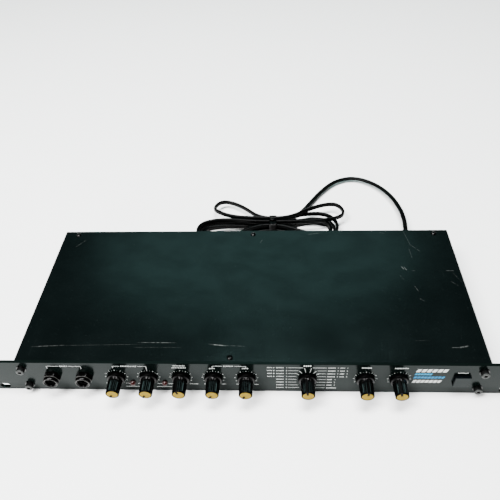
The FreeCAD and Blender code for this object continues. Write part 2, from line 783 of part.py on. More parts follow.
def make_input_jacks():
    """Two front jacks and the tall moulded nuts that hold them."""
    jacks, nuts = [], []
    for place in JACKS:
        at = (place, "control_height")
        step = f"{FACE} - jack_nut_thick"
        front = f"{step} - collar_thick"
        jacks.append(jack("input", place, step, "sheet", -1))
        nut = hexagon("input_nut", "jack_nut_across", "Y", (step, FACE), at)
        collar = taper("input_collar", "collar_diameter", "collar_diameter * 1.04", "Y",
                       (front, step), at)
        thread = rod("input_thread", "jack_sleeve + 2 * running_gap", "Y", (step, "0"), at)
        mouth = rod("input_mouth", "collar_mouth", "Y", (f"{front} - 1", "0"), at)
        nuts.append(cut("input_nut_cut", fuse("input_nut_blank", [nut, collar]),
                        [fuse("input_nut_bore", [thread, mouth])]))
    subpart(group("input_jack_group", jacks), "input_jacks")
    subpart(group("input_nut_group", nuts), "input_jack_nuts")


def make_output_jacks():
    """Three rear jacks with flat hexagon nuts."""
    jacks, nuts = [], []
    for place in OUTPUTS:
        at = (place, "control_height")
        mouth = "chassis_depth + output_proud"
        jacks.append(jack("output", place, mouth, REAR_INSIDE, 1))
        nut = hexagon("output_nut", "output_nut_across", "Y",
                      ("chassis_depth", "chassis_depth + output_nut_thick"), at)
        eye = rod("output_nut_eye", "jack_sleeve + 2 * running_gap", "Y",
                  ("chassis_depth - 1", "chassis_depth + 2 * output_nut_thick"), at)
        nuts.append(cut("output_nut_cut", nut, [eye]))
    subpart(group("output_jack_group", jacks), "output_jacks")
    subpart(group("output_nut_group", nuts), "output_jack_nuts")


def make_leds():
    """Two round lights: a domed lens, a flange behind the wall and two legs to the board."""
    lights = []
    for place in LEDS:
        at = (place, "led_height")
        middle = f"{FACE} - led_proud + led_diameter / 2"
        dome = doc.addObject("Part::Sphere", "led_dome")
        dome.setExpression("Radius", formula("led_diameter / 2"))
        set_base(dome, place, middle, "led_height")
        barrel = rod("led_barrel", "led_diameter", "Y", (middle, "sheet + led_flange / 2"), at)
        flange = rod("led_flange_disc", "led_diameter + 4 * loose_gap", "Y",
                     ("sheet", "sheet + led_flange"), at)
        legs = [block("led_leg", about(f"({place}) + {side} * led_diameter / 4", "pin_thick / 2"),
                      ("sheet + led_flange / 2", BOARD_FRONT),
                      about("led_height", "pin_thick / 2")) for side in SIDES]
        lights.append(fuse("led", [dome, barrel, flange, *legs]))
    subpart(group("led_group", lights), "signal_leds")


def make_power_button():
    """The square push button with its stop flange and plunger, and the switch behind it."""
    at_x, at_z = "button_place", "button_height"
    flange_front = "sheet + loose_gap"
    flange_back = f"{flange_front} + button_flange"
    switch_front = f"{flange_back} + button_travel + loose_gap"
    body = doc.addObject("PartDesign::Body", "button_body")
    plan = new_sketch(body, "XZ_Plane", "button_plan", "panel_thick + button_proud")
    draw_outline(plan, rectangle(about("0", "button_side / 2"), about("0", "button_side / 2")))
    face = pad(body, plan, "button_pad", f"panel_thick + button_proud + {flange_back}",
               reverse=True)
    doc.recompute()
    dress(body, face, "Fillet", "button_edges", "panel_bevel")
    stand(body, at_x, "0", at_z)
    flange_half = "button_side / 2 + 2 * button_flange"
    flange = block("button_flange_plate", about(at_x, flange_half), (flange_front, flange_back),
                   about(at_z, flange_half))
    plunger = block("button_plunger", about(at_x, "plunger_side / 2"),
                    (flange_front, f"{flange_back} + plunger_length"),
                    about(at_z, "plunger_side / 2"))
    subpart(fuse("button_fused", [body, flange, plunger]), "power_button")
    half = "power_switch_side / 2"
    case = block("switch_case", about(at_x, half),
                 (switch_front, f"{switch_front} + power_switch_depth"), about(at_z, half))
    feet = [block("switch_foot", about(f"{at_x} + {side} * (button_side / 2 + 4 * button_flange)",
                                       "button_flange"),
                  ("sheet", f"{switch_front} + 2 * button_flange"), about(at_z, half))
            for side in SIDES]
    wings = block("switch_wings", about(at_x, "button_side / 2 + 5 * button_flange"),
                  (switch_front, f"{switch_front} + 2 * button_flange"), about(at_z, half))
    well = block("switch_well", about(at_x, "plunger_side / 2 + loose_gap"),
                 (f"{switch_front} - 1",
                  f"{flange_back} + plunger_length + button_travel + loose_gap"),
                 about(at_z, "plunger_side / 2 + loose_gap"))
    subpart(cut("switch_cut", fuse("switch_fused", [case, wings, *feet]), [well]),
            "power_switch")


def make_boards():
    """The control board behind the pots, the main board on its posts, and what they carry."""
    window = rod("mode_window", "mode_diameter + 2 * loose_gap", "Y",
                 (f"{BOARD_FRONT} - 1", f"{BOARD_FRONT} + 2 * board_thick"),
                 ("mode_place", "control_height"))
    plate = block("control_plate", ("control_board_left", "control_board_right"),
                  (BOARD_FRONT, f"{BOARD_FRONT} + board_thick"),
                  ("control_board_foot", "control_board_top"))
    subpart(cut("control_board_cut", plate, [window]), "control_board")
    corners = [(x, y) for x in ("main_board_left + board_screw_inset",
                                "(main_board_left + main_board_right) / 2",
                                "main_board_right - board_screw_inset")
               for y in ("main_board_front + board_screw_inset",
                         "main_board_back - board_screw_inset")]
    board = block("main_plate", ("main_board_left", "main_board_right"),
                  ("main_board_front", "main_board_back"), (BOARD_FLOOR, BOARD_TOP))
    holes = [rod("board_hole", "case_screw_diameter + loose_gap", "Z",
                 (f"{BOARD_FLOOR} - 1", f"{BOARD_TOP} + 1"), at) for at in corners]
    subpart(cut("main_board_cut", board, holes), "main_board")
    posts = []
    for at in corners:
        post = rod("post", "standoff_diameter", "Z", ("sheet", BOARD_FLOOR), at)
        eye = rod("post_eye", "case_screw_diameter + 2 * running_gap", "Z",
                  ("2 * sheet", f"{BOARD_FLOOR} + 1"), at)
        posts.append(cut("standoff", post, [eye]))
    subpart(group("post_group", posts), "board_standoffs")
    screws = []
    for at in corners:
        head = rod("board_screw_head", "case_screw_head", "Z",
                   (BOARD_TOP, f"{BOARD_TOP} + case_screw_head_rise"), at)
        shank = rod("board_screw_shank", "case_screw_diameter", "Z",
                    (f"{BOARD_TOP} - board_thick - standoff_height / 2", BOARD_TOP), at)
        screws.append(fuse("board_screw", [head, shank]))
    subpart(group("board_screw_group", screws), "board_screws")
    make_board_load()


def make_board_load():
    """Chips in two rows, capacitors in one, and the ribbon between the boards."""
    length = "(main_board_right - main_board_left)"
    depth = "(main_board_back - main_board_front)"
    chips = [block("chip",
                   about(f"main_board_left + {length} * {column} / 6", "chip_long / 2"),
                   about(f"main_board_front + {depth} * {row} / 5", "chip_wide / 2"),
                   (BOARD_TOP, f"{BOARD_TOP} + chip_thick"))
             for column in (0.6, 1.6, 2.6, 3.5, 4.5, 5.5) for row in (2, 3)]
    subpart(group("chip_group", chips), "board_chips")
    capacitors = [rod("capacitor", "capacitor_diameter", "Z",
                      (BOARD_TOP, f"{BOARD_TOP} + capacitor_height"),
                      (f"main_board_left + {length} * {column} / 8",
                       f"main_board_front + {depth} * 0.82"))
                  for column in range(1, 8) if column != 4]
    subpart(group("capacitor_group", capacitors), "board_capacitors")
    ribbon_x = about("ribbon_place", "ribbon_width / 2")
    back = f"{BOARD_FRONT} + board_thick"
    strip = block("ribbon_strip", ribbon_x, (back, "main_board_front + ribbon_overlap"),
                  (BOARD_TOP, f"{BOARD_TOP} + ribbon_thick"))
    rise = block("ribbon_rise", ribbon_x, (back, f"{back} + ribbon_thick"),
                 (BOARD_TOP, f"{BOARD_TOP} + ribbon_overlap"))
    subpart(fuse("ribbon_fused", [strip, rise]), "ribbon_cable")


def make_transformer():
    """A laminated core with two windows, and the winding round its middle leg."""
    x, y = "core_place", "core_back"
    foot, top = "sheet", "sheet + core_height"
    leg_half = "core_leg"
    core = block("core_block", about(x, "core_width / 2"), about(y, "core_thick / 2"),
                 (foot, top))
    windows = []
    for side in SIDES:
        inner, outer = f"{x} + {side} * {leg_half}", f"{x} + {side} * (core_width / 2 - core_leg)"
        span = (inner, outer) if side > 0 else (outer, inner)
        windows.append(block("core_window", span, about(y, "core_thick"),
                             (f"{foot} + core_leg", f"{top} - core_leg")))
    subpart(cut("core_cut", core, windows), "transformer_core")
    low, high = f"{foot} + core_leg + loose_gap", f"{top} - core_leg - loose_gap"
    coil = block("coil_block", about(x, "core_width / 2 - core_leg - loose_gap"),
                 about(y, "core_thick / 2 + coil_proud"), (low, high))
    hole = block("coil_hole", about(x, f"{leg_half} + loose_gap"),
                 about(y, "core_thick / 2 + loose_gap"), (f"{low} - 1", f"{high} + 1"))
    subpart(cut("coil_cut", coil, [hole]), "transformer_coil")


def make_level_switch():
    """The rear slide switch: its housing inside and the slider that shows in the window."""
    x, z = "level_place", "level_height"
    slider_wide = "(level_window - level_travel)"
    depth = (f"{REAR_INSIDE} - level_body_depth", REAR_INSIDE)
    case = block("level_case", about(x, "level_body_long / 2"), depth,
                 about(z, "level_body_rise / 2"))
    rise = "(level_window_rise / 2 - loose_gap)"
    track = block("level_track", about(x, "level_window / 2 + loose_gap"),
                  (f"{REAR_INSIDE} - level_body_depth / 2", "chassis_depth"),
                  about(z, f"{rise} + loose_gap"))
    subpart(cut("level_cut", case, [track]), "level_switch")
    left = f"{x} - level_window / 2"
    slider = block("level_slider_block", (left, f"{left} + {slider_wide}"),
                   (f"{REAR_INSIDE} - level_body_depth / 2 + loose_gap",
                    "chassis_depth + level_proud"),
                   about(z, rise))
    subpart(slider, "level_slider")


def make_strain_relief():
    """The grommet in the rear panel with its tapered sleeve."""
    at = ("cord_place", "cord_height")
    neck = rod("relief_neck", "relief_hole - loose_gap", "Y",
               (f"{REAR_INSIDE} - relief_flange", "chassis_depth + relief_flange / 2"), at)
    catch = rod("relief_catch", "relief_flange_diameter", "Y",
                (f"{REAR_INSIDE} - relief_flange", REAR_INSIDE), at)
    flange = rod("relief_flange_disc", "relief_flange_diameter", "Y",
                 ("chassis_depth", "chassis_depth + relief_flange"), at)
    sleeve = taper("relief_sleeve", "relief_root", "cord_thick + 2 * tie_thick", "Y",
                   ("chassis_depth + relief_flange", RELIEF_END), at)
    subpart(fuse("relief_fused", [neck, catch, flange, sleeve]), "strain_relief")


def arc_between(start, corner, end):
    """The arc from start to end whose tangents meet at corner, and its radius."""
    half = (end - start).Length / 2
    reach = (corner - start).Length
    cosine = half / reach
    if cosine > 1 - 1e-9:
        return Part.LineSegment(start, end).toShape(), math.inf
    crown = corner + ((start + end) / 2 - corner) / (1 + cosine)
    return Part.Arc(start, crown, end).toShape(), reach * cosine / math.sqrt(1 - cosine ** 2)


def biarc(start, start_way, end, end_way):
    """Two arcs that leave start and reach end along given directions."""
    gap = end - start
    both = start_way + end_way
    a = both.dot(both) - 4
    b = -2 * gap.dot(both)
    c = gap.dot(gap)
    root = math.sqrt(b * b - 4 * a * c)
    tangent = -c / b if abs(a) < 1e-9 else min(t for t in ((-b + root) / (2 * a),
                                                           (-b - root) / (2 * a)) if t > 0)
    first, second = start + start_way * tangent, end - end_way * tangent
    joint = (first + second) / 2
    return arc_between(start, first, joint), arc_between(joint, second, end)


def rounded_route(points):
    """Straight runs through points, joined by tangent arcs as large as the runs allow."""
    edges, radii = [], []
    last = points[0]
    for before, corner, after in zip(points, points[1:], points[2:]):
        short = 0.45 * min((corner - before).Length, (after - corner).Length)
        enter = corner + (before - corner).normalize() * short
        leave = corner + (after - corner).normalize() * short
        arc, radius = arc_between(enter, corner, leave)
        edges += [Part.LineSegment(last, enter).toShape(), arc]
        radii.append(radius)
        last = leave
    edges.append(Part.LineSegment(last, points[-1]).toShape())
    return edges, radii


def tube(edges, diameter):
    """A round tube swept along joined edges."""
    path = Part.Wire(edges)
    first = edges[0]
    start = first.valueAt(first.FirstParameter)
    ring = Part.Circle(start, first.tangentAt(first.FirstParameter), diameter / 2)
    section = Part.Wire(ring.toShape())
    solid = path.makePipeShell([section], True, False)
    wanted = math.pi * diameter ** 2 / 4 * path.Length
    print(f"tube: length {path.Length:.1f}, volume {solid.Volume / wanted:.4f} of its section's")
    return solid


def add_shape(label, shape):
    """A piece whose shape comes from code."""
    feature = doc.addObject("Part::Feature", label)
    feature.Shape = shape
    feature.Placement = Placement()
    subpart(feature, label)


def cord_route():
    """The free stretch: out of the relief, down to the floor and round to the hank."""
    rear, rest = size("chassis_depth"), size("cord_thick") / 2
    outlet = rear + size("relief_flange") + size("relief_length")
    exit_x, exit_z = size("cord_place"), size("cord_height")
    return [Vector(exit_x, outlet, exit_z)] + [Vector(x, rear + y, rest + z) for x, y, z in (
        (179.8, 40, 11.0),
        (181.5, 54, 8.5),
        (181.0, 75, 7.0),
        (174.0, 105, 5.5),
        (158.0, 132, 4.0),
        (132.0, 149, 3.0),
        (106.0, 142, 3.0),
        (86.5, 121, 3.0),
        (71.0, 98, 2.0),
        (59.5, 80, 1.0),
        (45.5, 69.5, 0),
    )]


def hank_stations():
    """Points of the hank with the direction of the cord at each, in the order it is wound.

    Each turn is a left and a right lobe that meet at the tied waist. The turns step inwards
    in the first layer, climb where they reverse, step outwards in the second, and three loose
    lobes lie on top. A lobe's reach and half width shrink by one step with each turn.
    """
    rest = size("cord_thick") / 2
    layers = [rest + k * size("loop_layer") for k in range(3)]
    lift, step, half = size("waist_lift"), size("loop_step"), size("waist_half")
    middle = Vector(size("waist_place"), size("chassis_depth") + size("waist_back"), 0)
    stations = []

    def cross(turn, layer, heading):
        """The waist, on the far side when heading left and the near side when heading right."""
        offset = -heading * (half - step * turn)
        stations.append((middle + Vector(0, offset, layers[layer] + lift), Vector(heading, 0, 0)))

    def lobe(side, reach, tilt, width, turns, heights):
        """Two shoulders and a tip; a left lobe runs from the far flank, a right one can too."""
        along = Vector(side * math.cos(math.radians(tilt)), math.sin(math.radians(tilt)), 0)
        across = Vector(-along.y, along.x, 0) * side
        flank = -side if len(turns) == 3 else 1
        out, tip, back = (step * turn for turn in turns[:3])
        spots = ((reach - width, flank * (width - out), along),
                 (reach - tip, 0, across * -flank),
                 (reach - width, -flank * (width - back), along * -1))
        for (ahead, aside, way), height in zip(spots, heights):
            stations.append((middle + along * ahead + across * aside + Vector(0, 0, height), way))

    left, right, inner = (-1, 95, -8, 21.5), (1, 80, 0, 24.5), (1, 78, -4, 20.4)
    start = Vector(45.5, size("chassis_depth") + 69.5, rest)
    inward = Vector(-0.73, -0.68, 0).normalize()
    stations += [(start, inward), (start + inward * size("cord_thick"), inward)]
    cross(0, 0, -1)
    for turn in range(LOOP_TURNS):
        flat = [layers[0]] * 3
        lobe(*left, (turn + 0.125, turn + 0.25, turn + 0.375), flat)
        cross(turn + 0.5, 0, 1)
        lobe(*right, (turn + 0.625, turn + 0.75, turn + 0.875), flat)
        cross(turn + 1, 0, -1)
    flat = [layers[1]] * 3
    lobe(*left, (LOOP_TURNS + 0.05, LOOP_TURNS, LOOP_TURNS - 0.25), flat)
    cross(LOOP_TURNS - 0.5, 1, 1)
    for turn in range(LOOP_TURNS - 1, -1, -1):
        lobe(*(inner if turn else right), (turn + 0.375, turn + 0.25, turn + 0.125), flat)
        cross(turn, 1, -1)
        if turn:
            lobe(*left, (turn - 0.125, turn - 0.25, turn - 0.375), flat)
            cross(turn - 0.5, 1, 1)
    top = layers[2]
    loose_step = half - 6.6
    lobe(-1, 82, 29, 14.5, (0, 0, 0, "loose"), (8.5, 10.0, top + 0.4))
    stations.append((middle + Vector(0, half - loose_step, top + lift), Vector(1, 0, 0)))
    lobe(1, 90, 16.5, 14.0, (0, 0, 0, "loose"), (top + 0.4, 13.0, top + 0.4))
    stations.append((middle + Vector(0, 0, top + lift), Vector(-1, 0, 0)))
    lobe(-1, 92, -10, 17.0, (0, 0, 0, "loose"), (top + 0.2, top, top + 0.2))
    stations.append((middle + Vector(0, loose_step - half, top + lift), Vector(1, 0, 0)))
    return stations


def plug_start():
    """Where the cord enters the plug's neck."""
    return Vector(107.0, size("chassis_depth") + 11.5, size("plug_thick") / 2)


def hank_edges():
    """The hank's arcs, from the free stretch to the plug, with their radii."""
    stations = hank_stations()
    rear, end = size("chassis_depth"), plug_start()
    ahead = Vector(1, 0, 0)
    stations += [
        (Vector(56.0, rear + 29.5, 14.3), Vector(0.92, -0.40, 0).normalize()),
        (Vector(80.0, rear + 15.2, 11.9), Vector(0.90, -0.20, -0.30).normalize()),
        (end - ahead * size("cord_thick"), ahead),
    ]
    edges, radii = [], []
    for (start, start_way), (stop, stop_way) in zip(stations, stations[1:]):
        if (stop - start).cross(start_way).Length < 1e-6:
            edges.append(Part.LineSegment(start, stop).toShape())
            continue
        for edge, radius in biarc(start, start_way, stop, stop_way):
            edges.append(edge)
            radii.append(radius)
    edges.append(Part.LineSegment(stations[-1][0], end).toShape())
    return edges, radii


def least_gap(edges, diameter, spacing=1.5, apart=14.0):
    """The smallest gap between stretches of one tube that lie apart along it."""
    points, along, travelled = [], [], 0.0
    for edge in edges:
        count = max(2, int(edge.Length / spacing))
        for k in range(count):
            points.append(edge.valueAt(edge.getParameterByLength(edge.Length * k / count)))
            along.append(travelled + edge.Length * k / count)
        travelled += edge.Length
    best = math.inf
    for i, point in enumerate(points):
        for j in range(i + 1, len(points)):
            if along[j] - along[i] > apart:
                best = min(best, point.distanceToPoint(points[j]))
    return best - diameter


def make_cord():
    """The free stretch and the hank as round tubes."""
    diameter = size("cord_thick")
    edges, radii = rounded_route(cord_route())
    print("cord radii:", ", ".join(f"{radius:.0f}" for radius in radii))
    add_shape("power_cord", tube(edges, diameter))
    edges, radii = hank_edges()
    print(f"hank: tightest radius {min(radii):.1f}, least gap {least_gap(edges, diameter):.2f}")
    add_shape("power_cord_hank", tube(edges, diameter))


def make_tie():
    """The strap round the hank's waist, with its twisted ends on top."""
    clear = size("cord_thick") / 2 + size("loose_gap")
    thick, rest = size("tie_thick"), size("cord_thick") / 2 + size("waist_lift")
    wide = size("waist_half")
    narrow = 6.6
    low = rest
    mid = rest + size("loop_layer")
    high = rest + 2 * size("loop_layer")
    corners = ((-wide, low), (wide, low), (wide, mid), (narrow, high), (-narrow, high),
               (-wide, mid))
    middle = Vector(size("waist_place") - size("tie_width") / 2,
                    size("chassis_depth") + size("waist_back"), 0)
    ring = Part.makePolygon([middle + Vector(0, y, z) for y, z in corners + corners[:1]])

    def skin(distance):
        loop = ring.makeOffset2D(distance)
        return Part.Face(loop).extrude(Vector(size("tie_width"), 0, 0))

    strap = skin(clear + thick).cut(skin(clear))
    crown = middle + Vector(size("tie_width") / 2, 0, high + clear + thick)
    knot = Part.makeSphere(3.2, crown).fuse(
        [Part.makeCylinder(1.3, 7.0, crown, Vector(side * 0.9, 0.5, 0.25)) for side in SIDES])
    inside = skin(clear + thick / 2)
    add_shape("cord_tie", strap.fuse(knot.cut(inside)).removeSplitter())


def make_plug():
    """A moulded two-blade plug lying on the floor, with a tapered neck."""
    start = plug_start()
    body = doc.addObject("PartDesign::Body", "plug_body")
    plan = new_sketch(body, "YZ_Plane", "plug_plan", "plug_neck * 0.8")
    draw_outline(plan, rectangle(about("0", "plug_wide / 2"), about("0", "plug_thick / 2")))
    grip = pad(body, plan, "plug_pad", "plug_long + plug_neck * 0.2")
    doc.recompute()
    dress(body, grip, "Fillet", "plug_edges", "plug_round")
    body.Placement = Placement(start, Rotation())
    neck = doc.addObject("Part::Cone", "plug_neck_cone")
    neck.setExpression("Radius1", formula("cord_thick / 2 + tie_thick"))
    neck.setExpression("Radius2", formula("cord_thick / 2 + 2 * tie_thick"))
    neck.setExpression("Height", formula("plug_neck"))
    neck.Placement = Placement(start, ALONG["X"])
    subpart(fuse("plug_fused", [body, neck]), "power_plug")
    blades = []
    for side in SIDES:
        blade = doc.addObject("Part::Box", "plug_blade")
        blade.setExpression("Length", formula("blade_long"))
        blade.setExpression("Width", formula("blade_thick"))
        blade.setExpression("Height", formula("blade_wide"))
        face = start.x + size("plug_neck") + size("plug_long")
        base = Vector(face, start.y + side * size("blade_gap") / 2 - size("blade_thick") / 2,
                      start.z - size("blade_wide") / 2)
        blade.Placement = Placement(base, Rotation())
        blades.append(blade)
    subpart(group("blade_group", blades), "plug_blades")


def make_mains_wires():
    """The leads inside: strain relief to transformer, and transformer to power switch."""
    diameter, floor = 3.0, size("sheet") + 2.2
    inside = size("chassis_depth") - size("sheet") - size("relief_flange")
    x, z = size("cord_place"), size("cord_height")
    side = size("core_place") + size("core_width") / 2
    back = size("core_back")
    switch_end = (2 * size("sheet") + size("button_flange") + size("button_travel")
                  + 2 * size("loose_gap") + size("power_switch_depth"))
    supply = [Vector(x, inside, z), Vector(x, inside - 14, z - 1), Vector(side + 14.5, inside - 30, 6),
              Vector(side + 15.5, back + 20, floor + 1), Vector(side + 13.5, back + 4, floor + 6),
              Vector(side + 4, back, 17), Vector(side, back, 17)]
    feed = [Vector(side, back - 5, 12), Vector(side + 6, back - 5, 12),
            Vector(side + 20, back - 18, floor + 2), Vector(size("button_place") + 1, 52, floor + 4),
            Vector(size("button_place"), switch_end + 8, size("button_height") - 3),
            Vector(size("button_place"), switch_end, size("button_height") - 3)]
    shapes = [tube(rounded_route(points)[0], diameter) for points in (supply, feed)]
    add_shape("mains_wires", Part.makeCompound(shapes))


def check_document():
    """Stops before anything is written if an object failed or a piece isn't sound."""
    doc.recompute()
    for thing in doc.Objects:
        if "Invalid" in thing.State or "Error" in thing.State:
            raise RuntimeError(f"{thing.Label} ({thing.Name}) failed: {thing.State}")
    for piece in SUBPARTS:
        if piece.Shape.isNull() or not piece.Shape.isValid() or not piece.Shape.Solids:
            raise RuntimeError(f"{piece.Label} has no valid shape")
        if not piece.Label.isascii() or piece.Label.count(" "):
            raise RuntimeError(f"{piece.Label} isn't a plain name")
    labels = [piece.Label for piece in SUBPARTS]
    if len(set(labels)) != len(labels) or len(labels) > 60:
        raise RuntimeError("labels repeat, or there are more than 60")


def main():
    make_front_panel()
    make_tray()
    make_rear_panel()
    make_cover()
    make_case_screws()
    make_panel_screws()
    make_dials()
    make_input_jacks()
    make_output_jacks()
    make_leds()
    make_power_button()
    make_boards()
    make_transformer()
    make_level_switch()
    make_strain_relief()
    make_cord()
    make_tie()
    make_plug()
    make_mains_wires()
    check_document()
    os.makedirs("parts", exist_ok=True)
    for piece in SUBPARTS:
        piece.Shape.exportStep(os.path.join("parts", piece.Label + ".step"))
    print(f"wrote {len(SUBPARTS)} parts")


main()
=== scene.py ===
"""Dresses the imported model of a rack-mount digital delay unit, in metres.

X runs to the right along the front panel, Y backwards into the case and Z up, as in the model.
"""

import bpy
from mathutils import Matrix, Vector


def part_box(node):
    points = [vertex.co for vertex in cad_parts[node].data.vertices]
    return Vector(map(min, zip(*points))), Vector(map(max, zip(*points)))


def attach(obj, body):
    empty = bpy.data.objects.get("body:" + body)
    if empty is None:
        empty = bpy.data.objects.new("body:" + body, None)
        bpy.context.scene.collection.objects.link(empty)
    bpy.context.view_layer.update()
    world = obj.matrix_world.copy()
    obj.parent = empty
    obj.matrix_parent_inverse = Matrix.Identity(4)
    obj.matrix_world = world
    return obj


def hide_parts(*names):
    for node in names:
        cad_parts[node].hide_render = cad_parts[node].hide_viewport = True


bl_info = {
    "name": "Delay unit dressing",
    "version": (1, 0, 0),
    "blender": (4, 5, 0),
    "location": "View3D > Sidebar > Delay unit",
    "description": "Surfaces, printing and a flat cord for a rack-mount delay unit",
    "category": "Object",
}

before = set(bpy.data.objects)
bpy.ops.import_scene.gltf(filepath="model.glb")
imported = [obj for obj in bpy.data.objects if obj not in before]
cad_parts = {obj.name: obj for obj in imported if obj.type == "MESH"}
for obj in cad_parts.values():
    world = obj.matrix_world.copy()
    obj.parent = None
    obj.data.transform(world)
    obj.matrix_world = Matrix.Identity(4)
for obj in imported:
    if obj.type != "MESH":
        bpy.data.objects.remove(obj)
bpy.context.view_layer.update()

import math
from functools import partial

import bpy
import numpy as np
from bpy.props import FloatProperty, FloatVectorProperty, IntProperty, PointerProperty
from mathutils import Matrix

MM = 0.001
RISE = np.array([0.0, 0.0, 1.0])
PANEL_FRONT = -3.0 * MM
CONTROL_HEIGHT = 22.6 * MM
CASE_TOP = 42.5 * MM
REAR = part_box("rear_panel")[1][1]

# Axes of the cover's screws as (x, y) and of the rear panel's as (x, z), in millimetres
COVER_SCREWS = ((-198.0, 169.0), (0.0, 169.0), (198.0, 169.0), (-16.3, 4.6))
REAR_SCREWS = tuple((x, z) for x in (-207.0, 207.0) for z in (10.75, 30.75))

# Each dial's rest angle in degrees, clockwise from straight up
DIAL_TURNS = {
    "dial_1": -150.0, "dial_2": -150.0, "dial_3": -18.0, "dial_4": -150.0, "dial_5": -150.0,
    "mode": -11.25, "dial_6": 9.0, "dial_7": -14.0,
}

# The cord's way from the strain relief to its hank, in millimetres
CORD_ROUTE = (
    (177.5, 198.0, 15.0), (179.8, 215.0, 13.4), (181.5, 229.0, 10.9), (181.0, 250.0, 9.4),
    (174.0, 280.0, 7.9), (158.0, 307.0, 6.4), (132.0, 324.0, 5.4), (106.0, 317.0, 5.4),
    (86.5, 296.0, 5.4), (71.0, 273.0, 4.4), (59.5, 255.0, 3.4),
)


def linear(hex_code):
    """An sRGB hex colour as the linear red, green and blue that shaders take."""
    shares = [int(hex_code[k:k + 2], 16) / 255 for k in (1, 3, 5)]
    return tuple(s / 12.92 if s <= 0.04045 else ((s + 0.055) / 1.055) ** 2.4 for s in shares)


def colour(name, hex_code, description):
    """A colour that the user can change."""
    return FloatVectorProperty(name=name, description=description, subtype="COLOR",
                               size=3, min=0.0, max=1.0, default=linear(hex_code))


def length(name, millimetres, description):
    """A length that the user can change."""
    return FloatProperty(name=name, description=description, default=millimetres * MM,
                         min=0.0, precision=5, unit="LENGTH")


class DelayUnitSizes(bpy.types.PropertyGroup):
    """Sizes of what the dressing adds to the model."""

    cord_width: length("Cord width", 5.7, "Width of the flat twin cord")
    cord_depth: length("Cord depth", 3.5, "Thickness of each of the cord's two ribs")
    cord_groove: length("Cord groove", 2.8, "Thickness of the cord at the groove between its ribs")
    flute_depth: length("Flute depth", 0.45, "How deep the grooves of a knob are")
    flute_count: IntProperty(name="Flutes", description="Grooves round a knob", default=20,
                             min=6, max=60)
    tick_start: length("Tick start", 9.5, "Distance of a tick's inner end from its dial's axis")
    tick_end: length("Tick end", 10.9, "Distance of a tick's outer end from its dial's axis")
    line_width: length("Line width", 0.39, "Width of the printed lines")
    ink_depth: length("Ink depth", 0.03, "How far the print stands off the panel")
    tie_width: length("Tie width", 9.0, "Width of the strap round the hank")
    tie_depth: length("Tie depth", 1.3, "Thickness of the strap round the hank")


class DelayUnitColours(bpy.types.PropertyGroup):
    """Colours of the unit and of the floor under it."""

    panel: colour("Panel", "#040807", "Stoved enamel of the front panel")
    case: colour("Case", "#020404", "Paint of the cover, tray and rear panel")
    bare: colour("Bare metal", "#b9beba", "Metal that shows where the paint is scratched")
    knob: colour("Knob", "#010101", "Moulded knobs and their skirts")
    cap: colour("Cap", "#866e18", "Discs in the fronts of the knobs")
    ink: colour("Ink", "#cfd3d0", "White print on the panel")
    sheen: colour("Sheen", "#eefffc", "Tint of the case paint's gloss")
    ink_cyan: colour("Cyan ink", "#0b8cb8", "Upper coloured stripes")
    ink_blue: colour("Blue ink", "#0a75a4", "Lower coloured stripes")
    # On the jack nuts' rims this pale colour paints a highlight.
    worn: colour("Worn edge", "#5a5a57", "Edges that are rubbed pale")
    lamp: colour("Lamp", "#240908", "Lenses of the two lights")
    cord: colour("Cord", "#020202", "Vinyl of the cord, its plug and its strain relief")
    floor: colour("Floor", "#f4f4f3", "Pale paper that the unit stands on")


def grid_quads(rows, columns, wrapped=False):
    """Quads of a grid whose columns close on themselves, and its rows too when it is wrapped."""
    r, c = np.meshgrid(np.arange(rows - 1 + wrapped), np.arange(columns), indexing="ij")
    right, below = (c + 1) % columns, (r + 1) % rows
    return np.stack([r * columns + c, r * columns + right,
                     below * columns + right, below * columns + c], -1).reshape(-1, 4)


def surface(points, *blocks):
    """A surface as its points, the corners of all its faces and each face's corner count.

    Each block is an array that holds one face in every row.
    """
    return (points.reshape(-1, 3), np.concatenate([block.ravel() for block in blocks]),
            np.concatenate([np.full(len(block), block.shape[1]) for block in blocks]))


def closed_surface(points):
    """A grid of rows by columns by 3, closed by a fan round a pole at each end."""
    rows, columns = points.shape[:2]
    flat = points.reshape(-1, 3)
    poles = np.array([points[0].mean(0), points[-1].mean(0)])
    near = np.arange(columns)
    after = (near + 1) % columns
    last = (rows - 1) * columns
    first_fan = np.stack([after, near, np.full(columns, len(flat))], -1)
    last_fan = np.stack([near + last, after + last, np.full(columns, len(flat) + 1)], -1)
    return surface(np.vstack([flat, poles]), grid_quads(rows, columns), first_fan, last_fan)


def ring_surface(points):
    """A grid of rows by columns by 3 that closes on itself both ways."""
    return surface(points, grid_quads(*points.shape[:2], True))


def joined(surfaces):
    """Several surfaces as one."""
    points, corners, counts = zip(*surfaces)
    starts = np.cumsum([0, *map(len, points[:-1])])
    return (np.vstack(points), np.concatenate([c + s for c, s in zip(corners, starts)]),
            np.concatenate(counts))


def outward(shape):
    """The same surface with its faces turned to the outside, by the sign of its volume.

    Six times the volume is the sum of a . (b x c) over the triangles of each face's fan.
    """
    points, corners, counts = shape
    first = np.repeat(np.cumsum(counts) - counts, counts)
    rank = np.arange(len(corners)) - first
    middle = np.flatnonzero((rank > 0) & (rank < np.repeat(counts, counts) - 1))
    a, b, c = (points[corners[index]] for index in (first[middle], middle, middle + 1))
    return shape if np.sum(a * np.cross(b, c)) > 0 else (points, corners[::-1], counts[::-1])


def put_in_scene(name, data, axes=np.eye(3), at=(0.0, 0.0, 0.0)):
    """An object of the scene with its axes, as columns, and its place in the world."""
    thing = bpy.data.objects.new(name, data)
    thing.matrix_world = Matrix([[*axes[k], at[k]] for k in range(3)] + [[0, 0, 0, 1]])
    bpy.context.scene.collection.objects.link(thing)
    return thing


